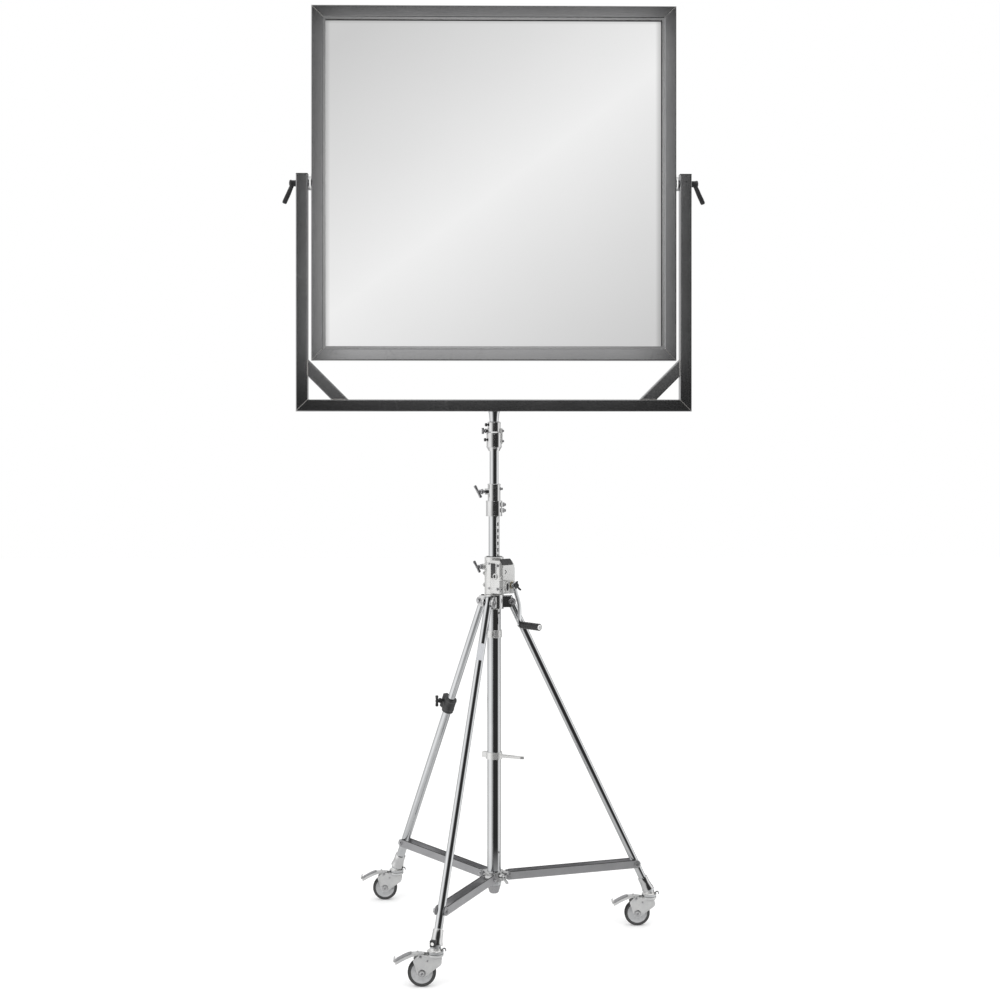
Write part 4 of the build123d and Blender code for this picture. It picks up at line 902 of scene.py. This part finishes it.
# the ledges round the casting's joint lines
LEDGE = [(-10, -24.4), (20, -24.4), (51.8, -24.4), (60.5, -16), (60.5, 5), (60.5, 25.2)]
for z, label in ((BOTTOM + 42, "middle"), (BOTTOM + 5.5, "low")):
    bm = bmesh.new()
    ledge = [at(WINCH, out, across, z + 1.6) for out, across in LEDGE]
    sweep_into(bm, ledge, scaled(rounded(1.8, 3.2, 0.7, 3)), UP)
    finish_mesh(bm, f"housing_ledge_{label}", "cast", "base", smooth=50)
LUG_TURN = outward(-96)
for z, label in ((BOTTOM + 60, "high"), (BOTTOM + 26, "low")):
    spot = at(-96, 27, 0, z)
    lug = [(0, -3), (6.4, -3), (6.4, 3.2), (5.6, 4.2), (0, 4.2)]
    lathe(f"housing_lug_{label}", lug, placed(spot, LUG_TURN), "cast", "base", 28, False, bevel=0.4)
    button(f"lug_screw_{label}", "base", spot + LUG_TURN * 0.0042, LUG_TURN, 3.6, 2.2)
ring = [(22.6, -1), (27.4, -1), (27.4, 1.4), (26.4, 2.6), (23.4, 2.6), (22.6, 1.6)]
lathe("housing_top_ring", ring, on_mast(TOP), "cast", "base", 56)
# bolts through the box's blind side, beside the pinion's shaft
for out, z in ((44, BOTTOM + 86), (8, BOTTOM + 90), (44, BOTTOM + 18), (8, BOTTOM + 18)):
    bolt(f"blind_bolt_{out}_{int(z)}", "base", at(WINCH, out, BLIND_AT, z), -SIDE, 6.5, 3.0, 4.6)
ring = [(5.5, 0), (9, 0), (9, 2.2), (7.6, 3.6), (5.5, 3.6)]
ring_at = at(WINCH, 34, BLIND_AT, pivot("pinion_turn").z / MM)
lathe("pinion_ring", ring, placed(ring_at, -SIDE), "cast", "base", 40)


# ------ crown, column and clips
for side in SIDES:
    across = sideways(LEG_AZIMUTH[side])
    for way, label in A_AND_B:
        face = pivot(f"leg_{side}_fold") + across * way * 0.0165
        washer = [(4.2, 0), (9.6, 0), (9.6, 0.9), (8.8, 1.3), (4.2, 1.3)]
        lathe(f"pivot_washer_{label}_{side}", washer, placed(face, across * way), "bolt", "base", 36)
        if way == -1:
            button(f"pivot_cap_{side}", "base", face - across * 0.0035, -across, 7.4, 2.4)
CROWN_LOW, CROWN_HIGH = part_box("leg_crown")
CROWN_RIM = [(20.4, -1.2), (27.2, -1.2), (28.8, -0.4), (28.8, 1.2), (27.4, 2.0), (20.4, 2.0)]
for z, way, label in ((CROWN_LOW.z, 1, "low"), (CROWN_HIGH.z, -1, "high")):
    lathe(f"crown_rim_{label}", [(r, way * h) for r, h in CROWN_RIM], on_mast(z / MM), "cast", "base", 56)
for z, label, azimuth, radius in ((945, "crown", 44, 20), (244, "foot", 42, 20), (1010, "sleeve", 8, 28)):
    spot = at(azimuth, radius - 0.4, 0, z)
    button(f"set_screw_{label}", "base", spot, outward(azimuth), 3.6, 1.9, "knob")
# small split band below the crown, with its ears and bolt
BAND_TURN = -6
BAND_Z = 883
band = [(20.15, 0), (22.4, 0), (23, 0.8), (23, 21.2), (22.4, 22), (20.15, 22)]
lathe("column_band", band, on_mast(BAND_Z - 11), "cast", "base", 56)
for way, label in A_AND_B:
    ear_at = placed(at(BAND_TURN, 0, way * 2.6, BAND_Z), sideways(BAND_TURN) * way, outward(BAND_TURN))
    plate(f"band_ear_{label}", rounded(15, 20, 4, shift=27), -1.4, 1.4, ear_at, "cast", bevel=0.5)
bolt("band_bolt", "base", at(BAND_TURN, 29, 4, BAND_Z), sideways(BAND_TURN), 6.5, 3.2, 4.4)
button("clip_screw", "base", at(242, 36, 0, 526), outward(242), 4.2, 2.4)
# chamfered ring at the column's lower end
ring = [(20.05, 0), (21.1, 0.6), (21.1, 5.4), (20.05, 6)]
lathe("column_end_ring", ring, on_mast(149), "chrome", "base", 56)


# ------ riser collar and top socket
def bead(name, body, z, radius):
    """A rolled bead round a collar."""
    roll = ((-0.3, -1.4), (0.7, -0.9), (0.9, 0), (0.7, 0.9), (-0.3, 1.4))
    lathe(name, [(radius + r, h) for r, h in roll], on_mast(z), "polished", body, 56)


COLLAR_WIDE, COLLAR_NARROW = 23.5, 18.5
for z, radius, label in (
    (1311, COLLAR_NARROW, "a"), (1288, COLLAR_NARROW, "b"),
    (1263, COLLAR_WIDE, "c"), (1240, COLLAR_WIDE, "d"),
):
    button(f"collar_screw_head_{label}", "riser_1", at(2, radius - 0.5, 0, z), outward(2), 4.0, 2.4, "black")
for z, label in ((1245, "a"), (1262, "b")):
    bolt(f"ear_bolt_{label}", "riser_1", at(70, 30, 0, z), outward(70), 8.0, 4.4, 5.6, "knob")
bolt("collar_top_bolt", "riser_1", at(84, 18.2, 0, 1308), outward(84), 7.0, 6.0, 5.4, "knob")
bead("collar_bead_low", "riser_1", 1229.5, COLLAR_WIDE)
bead("collar_bead_step", "riser_1", 1271, COLLAR_WIDE)
bead("collar_bead_top", "riser_1", 1320.5, COLLAR_NARROW)
# the collar's slit is a near-black strip standing on the collar: painted shade
slit = placed(at(18, 17.2, 0, 1298), outward(18), UP)
plate("collar_slit_painted_shade", rounded(44, 2.2, 1.0), -1, 1.7, slit, "painted_shade_dark", "riser_1")
for z, radius, label in ((1496, 19, "high"), (1452, 22, "low")):
    stud = [(0, -2), (2.4, -2), (2.4, 2.6), (4.6, 3.0), (5.0, 3.8), (5.0, 7.2), (4.2, 8.4), (0, 8.6)]
    place = placed(at(-72, radius, 0, z), outward(-72))
    lathe(f"socket_stud_{label}", stud, place, "black", "riser_2", 24, False)
spine = placed(at(78, 19.5, 0, 1463), outward(78), sideways(78))
plate("socket_spine", rounded(9, 46, 2.5), -2, 5.5, spine, "cast", "riser_2", bevel=1.0)
for z, label in ((1478, "high"), (1448, "low")):
    bolt(f"socket_bolt_{label}", "riser_2", at(78, 24.8, 0, z), outward(78), 6.5, 3.2, 4.6, "knob")
bead("socket_bead_a", "riser_2", 1431, 22)
bead("socket_bead_b", "riser_2", 1468, 22)
bead("socket_bead_c", "riser_2", 1501, 19)


# ------ legs and feet
FLARE = [
    (0.1, -3.5), (2.6, -3.2), (3.3, -1.8), (3.4, 14), (4.6, 26), (6.6, 34), (6.9, 36.5), (3.05, 36.5),
    (3.05, -1), (0.1, -1),
]
LEG_CAP = [(0, -2.2), (7.5, -2.0), (10.6, -0.8), (11.0, 0.4), (9.0, 1.5), (0, 1.5)]
SKIRT = [(14.6, 17), (15.4, 12), (17.6, 8.2), (20.8, 6.4), (20.8, 5.4), (14.4, 5.4)]
CATCH_LINE = [(17, 96.5), (20, 100.5), (24, 102), (27, 99.5), (27.6, 95)]
BLOCK_TURN = -24


def leg_line(side):
    """A leg's top pivot, the direction down it and its length in millimetres."""
    foot = pivot(f"castor_{side}_swivel")
    top = pivot(f"leg_{side}_fold")
    run = Vector((foot.x, foot.y, 0.1)) - top
    return top, run.normalized(), run.length / MM


def leg_trim(side):
    """The shoe's flare and skirt, the cap at the leg's top and the swivel lock's catch."""
    body = "level_leg" if side == "left" else f"leg_{side}"
    radius = 12.7 if side == "left" else 11.0
    top, down, reach = leg_line(side)
    foot = pivot(f"castor_{side}_swivel")
    flare = [(radius + r, z) for r, z in FLARE]
    lathe(f"shoe_flare_{side}", flare, placed(top + down * (reach - 46) * MM, down), "polished", body)
    lathe(f"leg_cap_{side}", LEG_CAP, placed(top - down * 0.014, down), "black", f"leg_{side}", 32, False)
    lathe(f"shoe_skirt_{side}", SKIRT, placed(foot, UP), "cast", body)
    if side == "front":
        foot_block(body, foot)
    bm = bmesh.new()
    catch = spline([on_floor(foot) + Vector((x * MM, -0.006, z * MM)) for x, z in CATCH_LINE], 6)
    sweep_into(bm, catch, scaled(ellipse(4, 1.3, 16)), UP)
    finish_mesh(bm, f"foot_catch_{side}", "black", body, smooth=40)


def foot_block(body, foot):
    """The square block on the front foot, with its bolt."""
    out = outward(BLOCK_TURN)
    block = Vector((foot.x, foot.y, 0.117)) + out * 0.0146
    facing = placed(block, out, sideways(BLOCK_TURN))
    plate("foot_block", rounded(15.5, 17.5, 2.2), -6, 5.4, facing, "black", body, bevel=0.8)
    button("foot_bolt", body, block + out * 0.0054, out, 4.6, 2.6, "white_plastic")


def leg_label():
    """The plain pale label on the front leg, a curved sheet."""
    top, down, _ = leg_line("front")
    face = sideways(LEG_AZIMUTH["front"]).cross(down).normalized()
    if face.dot(outward(LEG_AZIMUTH["front"])) < 0:
        face = -face
    across = down.cross(face).normalized()
    section = ((126, 11.12), (127, 11.3), (175, 11.3), (176, 11.12))
    bm = bmesh.new()
    rows = []
    for i in range(13):
        a = math.radians(-60 + 120 * i / 12)
        spoke = face * math.cos(a) + across * math.sin(a)
        rows.append([bm.verts.new(top + (down * along + spoke * r) * MM) for along, r in section])
    for a, b in zip(rows, rows[1:]):
        for i in range(3):
            bm.faces.new((a[i], a[i + 1], b[i + 1], b[i]))
    finish_mesh(bm, "leg_label", "label", "leg_front", smooth=60)


for side in SIDES:
    leg_trim(side)
leg_label()
# the levelling clamp's bands
top, down, _ = leg_line("left")
for along, label in ((350, "a"), (378, "b")):
    band = [(17.6, -2.0), (18.6, -1.4), (18.6, 1.4), (17.6, 2.0)]
    lathe(f"clamp_band_{label}", band, placed(top + down * along * MM, down), "black", "level_leg", 40)


# ------ spreader
HUB_Z = pivot("brace_front_fold").z / MM
HUB_RIM = [(20.6, -1.4), (26.4, -1.4), (28.2, -0.4), (28.2, 1.0), (26.6, 1.8), (20.6, 1.8)]
HUB_BOSS = [(0, -3), (9.4, -3), (9.4, 6.5), (8.2, 7.8), (4.4, 8.0), (4.4, 7.0), (0, 7.0)]
HUB_SLEEVE = [(4.6, -3), (10.2, -3), (10.2, 11), (9.4, 12.4), (4.6, 12.4)]


def brace_trim(side):
    """A brace's pivot bolts at the hub and at the leg, and the rolled edges along its channel's top, near
    black as painted shade along the channel.
    """
    body = f"brace_{side}"
    across = sideways(LEG_AZIMUTH[side])
    inner = pivot(f"brace_{side}_fold")
    top, down, reach = leg_line(side)
    joint = top + down * (0.9 * reach * MM)
    for way, label in A_AND_B:
        out = across * way
        bolt(f"hub_bolt_{label}_{side}", "hub", inner + out * 0.0174, out, 9.5, 4.4, 7.4)
    for way, label in A_AND_B:
        out = across * way
        bolt(f"brace_bolt_{label}_{side}", body, joint + out * 0.016, out, 11, 4.4, 7.8)
    along = (joint - inner).normalized()
    up = across.cross(along).normalized()
    if up.z < 0:
        up = -up
    # the rolled edges are near black: painted shade along the channel's top
    stations = (0.004, 0.1, 0.2, 0.3, (joint - inner).length - 0.004)
    for way, label in A_AND_B:
        edge = [inner + along * u + up * 0.0114 + across * way * 0.01475 for u in stations]
        bm = bmesh.new()
        sweep_into(bm, edge, scaled(ellipse(1.7, 1.1, 12)), up)
        finish_mesh(bm, f"brace_edge_{label}_{side}", "painted_shade_dark", body, slot="zinc_steel", smooth=50)


for side in SIDES:
    brace_trim(side)
for z, label in ((HUB_Z + 12.4, "high"), (HUB_Z - 12.4, "low")):
    lathe(f"hub_rim_{label}", HUB_RIM, on_mast(z), "cast_hub", "hub", 56)
for azimuth, label in ((48, "screw"), (-62, "blank"), (160, "rear")):
    hollow = label == "screw"
    place = placed(at(azimuth, 25, 0, HUB_Z), outward(azimuth))
    lathe(f"hub_boss_{label}", HUB_SLEEVE if hollow else HUB_BOSS, place, "cast_hub", "hub", 36, hollow)


# ------ welds on the yoke and the frame
def weld(name, start, finish, radius, body, up, flatten=0.5):
    """A run of weld: a low bead with overlapping ripples."""
    start, finish = Vector(start), Vector(finish)
    length = (finish - start).length
    count = max(8, int(length / (radius * 0.55)))
    line, scales = [], []
    for k in range(count + 1):
        u = k / count
        line.append(start.lerp(finish, u))
        ripple = 0.86 + 0.14 * math.sin(k * 1.9) + random.uniform(-0.06, 0.06)
        ripple *= min(1.0, 0.35 + 4 * min(u, 1 - u) * length / (radius * 8))
        scales.append((ripple, ripple))
    bm = bmesh.new()
    sweep_into(bm, line, ellipse(radius, radius * flatten, 10), Vector(up), scales)
    finish_mesh(bm, name, "weld", body, smooth=60)


RAIL_LOW, RAIL_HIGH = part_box("yoke_rail")
TUBE = RAIL_HIGH.z - RAIL_LOW.z
BRACE_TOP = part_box("yoke_braces")[1].z
BRACE_SPAN = TUBE * math.sqrt(2)
PANEL_LOW, PANEL_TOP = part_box("frame_left")
PANEL_HALF = (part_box("frame_right")[1].x - PANEL_LOW.x) / 2
SET_IN = 0.001
FACES = ((RAIL_LOW.y, "front", (0, -1, 0)), (RAIL_HIGH.y, "back", (0, 1, 0)))
for way, label in LEFT_AND_RIGHT:
    outer = MAST.x + way * (RAIL_HIGH.x - RAIL_LOW.x) / 2
    inner = outer - way * TUBE
    toe = inner - way * (BRACE_TOP - RAIL_HIGH.z)
    heel = toe + way * BRACE_SPAN
    for y, face, out in FACES:
        weld(f"yoke_mitre_{face}_{label}", (outer - way * 0.002, y, RAIL_LOW.z + 0.002),
             (inner, y, RAIL_HIGH.z), 0.0011, "yoke", out)
        weld(f"brace_arm_weld_{face}_{label}", (inner, y, BRACE_TOP - SET_IN),
             (inner, y, BRACE_TOP - BRACE_SPAN + SET_IN), 0.0016, "yoke", out)
        weld(f"brace_rail_weld_{face}_{label}", (toe + way * SET_IN, y, RAIL_HIGH.z),
             (heel - way * SET_IN, y, RAIL_HIGH.z), 0.0016, "yoke", out)
    weld(f"mitre_inside_{label}", (inner, RAIL_LOW.y + 0.003, RAIL_HIGH.z),
         (inner, RAIL_HIGH.y - 0.003, RAIL_HIGH.z), 0.0018, "yoke", UP, 0.9)
    outer = MAST.x + way * PANEL_HALF
    for z, rise, corner in ((PANEL_LOW.z, 1, "low"), (PANEL_TOP.z, -1, "high")):
        for y, face, out in FACES:
            weld(f"panel_mitre_{corner}_{face}_{label}", (outer - way * 0.0015, y, z + rise * 0.0015),
                 (outer - way * TUBE, y, z + rise * TUBE), 0.0008, "panel", out, 0.35)
# the spigot's plate under the rail
ring = [(14.4, -4), (16.6, -3.4), (16.9, -0.6), (16.0, 0.0), (14.4, 0.0)]
lathe("spigot_plate", ring, on_mast(RAIL_LOW.z / MM), "chrome", "yoke", slot="cast_metal")


# ------ tilt collars, bead screws, painted shadow at the mirror's edge
for way, label in LEFT_AND_RIGHT:
    disc = [(6.1, 0.3), (19.0, 0.3), (20.2, 1.0), (20.2, 4.6), (19.0, 5.4), (14.5, 5.4), (13.5, 8.6)]
    disc += [(6.1, 8.8)]
    place = placed((MAST.x + way * PANEL_HALF, TILT.y, TILT.z), (way, 0, 0))
    lathe(f"tilt_collar_{label}", disc, place, "white_plastic", "panel")
BOARD_LOW, BOARD_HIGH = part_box("backing_board")
SCREWS_A_SIDE = 4
SCREW_INSET = 0.0035


def bead_screw(label, k, x, z):
    button(f"bead_screw_{label}_{k}", "panel", (x, BOARD_HIGH.y + 0.008, z), (0, 1, 0), 2.4, 1.3)


for k in range(SCREWS_A_SIDE):
    share = (k + 0.5) / SCREWS_A_SIDE
    for way, label in ((-1, "l"), (1, "r")):
        x = MAST.x + way * (BOARD_HIGH.x - MAST.x - SCREW_INSET)
        bead_screw(label, k, x, BOARD_LOW.z + (BOARD_HIGH.z - BOARD_LOW.z) * share)
    for z, label in ((BOARD_LOW.z + SCREW_INSET, "low"), (BOARD_HIGH.z - SCREW_INSET, "high")):
        bead_screw(label, k, BOARD_LOW.x + (BOARD_HIGH.x - BOARD_LOW.x) * share, z)
# painted shadow: a near-black strip beside the glass, on one side only, for the shadow in the gap between
# glass and bead
GLASS_LOW, GLASS_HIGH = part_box("mirror_glass")
SHADOW_WIDTH = 2.4
BEAD = 7.0
half = (GLASS_HIGH.z - GLASS_LOW.z) / 2 / MM - BEAD
shadow_at = (GLASS_HIGH.x - (BEAD + SHADOW_WIDTH / 2) * MM, GLASS_LOW.y, (GLASS_LOW.z + GLASS_HIGH.z) / 2)
strip = [(-SHADOW_WIDTH / 2, -half), (SHADOW_WIDTH / 2, -half), (SHADOW_WIDTH / 2, half), (-SHADOW_WIDTH / 2, half)]
# near-black strip: painted shadow beside the glass
plate("mirror_gap_painted_shadow", strip, -0.2, 0.9, placed(shadow_at, (0, -1, 0), (1, 0, 0)), "painted_shade_dark", "panel")


# ------ the stage
# Polished metal sees a studio that the camera doesn't: the world and the floor look plain to the camera
# and to diffuse light, and show the walls and the flag below to glossy rays only.
# Brightness by the angle from the stand's front, right positive: a pale back wall, dimmer at its right,
# a light wall on each side, dimmer beside the flag, and a black flag in front, set to the right.
STUDIO = [
    (-180, 0.6), (-120, 0.6), (-90, 1.0), (-55, 1.0), (-30, 0.4), (-12, 0.03),
    (60, 0.03), (75, 0.5), (90, 1.0), (110, 1.0), (140, 0.2), (180, 0.6),
]
NEAR_FLOOR = 0.6
NEAR_FLOOR_ENDS = (0.4, 1.0)
CEILING = 1.0
CEILING_STARTS = (0.75, 0.95)
FLOOR_HALF = 14
FLOOR_TONE = 0.9
FLOOR_LIFT = 0.17
# the softbox that the mirror and the frames reflect: its places and sizes in metres
BOX_Y = -9.0
BOX_CENTRE = (0.1, 3.5)
BOX_SIZE = (3.0, 3.1)
BOX_EDGE = 0.12
BOX_PLANE = ((-4.0, 0.02), (4.0, 5.8))
# it is brightest along its diagonal, by the distance from it in metres
BOX_SLANT = (0.6, -0.8)
BOX_GLOW = [(-1.8, 0.65), (-0.8, 0.8), (0.0, 0.93), (0.8, 0.8), (1.8, 0.65)]


def new_tree(thing):
    thing.use_nodes = True
    return Tree(thing.node_tree)


def end_tree(t, share, first, second, output):
    """Ends a tree with a mix of two shaders."""
    mixed = t.add("ShaderNodeMixShader", in_0=share)
    t.link(first.outputs[0], mixed.inputs[1])
    t.link(second.outputs[0], mixed.inputs[2])
    t.link(mixed.outputs[0], t.add(output).inputs[0])


def glossy(t):
    return t.add("ShaderNodeLightPath").outputs["Is Glossy Ray"]


def studio(t, across, away, share, level):
    """The studio's brightness in a direction, given its parts to the right and to the front, and by a share a
    plain level instead."""
    turn = t.math("MULTIPLY_ADD", t.math("ARCTAN2", across, away), 0.5 / math.pi, 0.5)
    mix = t.add("ShaderNodeMix", data_type="RGBA", in_0=share)
    t.link(t.ramp(turn, [((a + 180) / 360, v) for a, v in STUDIO]), mix.inputs[6])
    mix.inputs[7].default_value = (level, level, level, 1)
    return mix.outputs[2]


def floor_material():
    material = bpy.data.materials.new("floor")
    t = new_tree(material)
    plain = t.add("ShaderNodeBsdfDiffuse")
    plain.inputs["Color"].default_value = (FLOOR_TONE, FLOOR_TONE, FLOOR_TONE, 1)
    lift = t.add("ShaderNodeEmission", in_Strength=FLOOR_LIFT)
    lit = t.add("ShaderNodeAddShader", in_0=plain.outputs[0], in_1=lift.outputs[0])
    place = t.add("ShaderNodeSeparateXYZ", in_0=t.add("ShaderNodeTexCoord").outputs["Object"])
    across = t.math("SUBTRACT", place.outputs[0], MAST.x)
    away = t.math("SUBTRACT", MAST.y, place.outputs[1])
    reach = t.math("SQRT", t.math("ADD", t.math("MULTIPLY", across, across), t.math("MULTIPLY", away, away)))
    near = t.ramp(reach, [(NEAR_FLOOR_ENDS[0], 1.0), (NEAR_FLOOR_ENDS[1], 0.0)])
    seen = t.add("ShaderNodeEmission", in_Color=studio(t, across, away, near, NEAR_FLOOR))
    end_tree(t, glossy(t), lit, seen, "ShaderNodeOutputMaterial")
    return material


def softbox_material():
    """Lit inside the box, with a soft edge, and clear outside it."""
    material = bpy.data.materials.new("softboxes")
    t = new_tree(material)
    place = t.add("ShaderNodeSeparateXYZ", in_0=t.add("ShaderNodeTexCoord").outputs["Object"])
    offsets = [t.math("SUBTRACT", place.outputs[k], middle) for k, middle in zip((0, 2), BOX_CENTRE)]
    covers = []
    for offset, length in zip(offsets, BOX_SIZE):
        to_edge = t.math("SUBTRACT", length / 2, t.math("ABSOLUTE", offset))
        cover = t.math("DIVIDE", to_edge, BOX_EDGE)
        cover.node.use_clamp = True
        covers.append(cover)
    parts = [t.math("MULTIPLY", offset, slant) for offset, slant in zip(offsets, BOX_SLANT)]
    width = 2 * BOX_GLOW[-1][0]
    along = t.math("MULTIPLY_ADD", t.math("ADD", *parts), 1 / width, 0.5)
    glow = t.ramp(along, [(0.5 + d / width, v) for d, v in BOX_GLOW])
    clear = t.add("ShaderNodeBsdfTransparent")
    lit = t.add("ShaderNodeEmission", in_Strength=glow)
    end_tree(t, t.math("MULTIPLY", *covers), clear, lit, "ShaderNodeOutputMaterial")
    return material


def stage_sheet(name, corners, material):
    mesh = bpy.data.meshes.new(name)
    mesh.from_pydata(corners, [], [(0, 1, 2, 3)])
    mesh.materials.append(material)
    thing = bpy.data.objects.new(name, mesh)
    bpy.context.scene.collection.objects.link(thing)
    return thing


def lamp(name, location, target, size, power):
    data = bpy.data.lights.new(name, "AREA")
    data.shape = "RECTANGLE"
    data.size = size
    data.size_y = size
    data.energy = power
    thing = bpy.data.objects.new(name, data)
    bpy.context.scene.collection.objects.link(thing)
    thing.location = location
    thing.rotation_euler = (Vector(target) - Vector(location)).to_track_quat("-Z", "Y").to_euler()
    thing.visible_glossy = False


F = FLOOR_HALF
stage_sheet("floor", [(-F, -F, 0), (F, -F, 0), (F, F, 0), (-F, F, 0)], floor_material())

(left, low), (right, high) = BOX_PLANE
corners = [(left, BOX_Y, low), (right, BOX_Y, low), (right, BOX_Y, high), (left, BOX_Y, high)]
box = stage_sheet("softboxes", corners, softbox_material())
for kind in ("camera", "diffuse", "shadow", "transmission", "volume_scatter"):
    setattr(box, f"visible_{kind}", False)

world = bpy.data.worlds.new("studio")
bpy.context.scene.world = world
t = new_tree(world)
heading = t.add("ShaderNodeSeparateXYZ", in_0=t.add("ShaderNodeTexCoord").outputs["Generated"])
overhead = t.ramp(heading.outputs[2], [(CEILING_STARTS[0], 0.0), (CEILING_STARTS[1], 1.0)])
front = t.math("MULTIPLY", heading.outputs[1], -1)
plain = t.add("ShaderNodeBackground")
plain.inputs[0].default_value = (1, 1, 1, 1)
seen = t.add("ShaderNodeBackground", in_Color=studio(t, heading.outputs[0], front, overhead, CEILING))
end_tree(t, glossy(t), plain, seen, "ShaderNodeOutputWorld")

lamp("key", (-2.6, -3.4, 4.6), (0, 0, 1.2), 2.4, 60)
lamp("fill", (3.2, -2.2, 3.0), (0, 0, 1.0), 2.0, 25)
bpy.context.scene.view_settings.view_transform = "Standard"
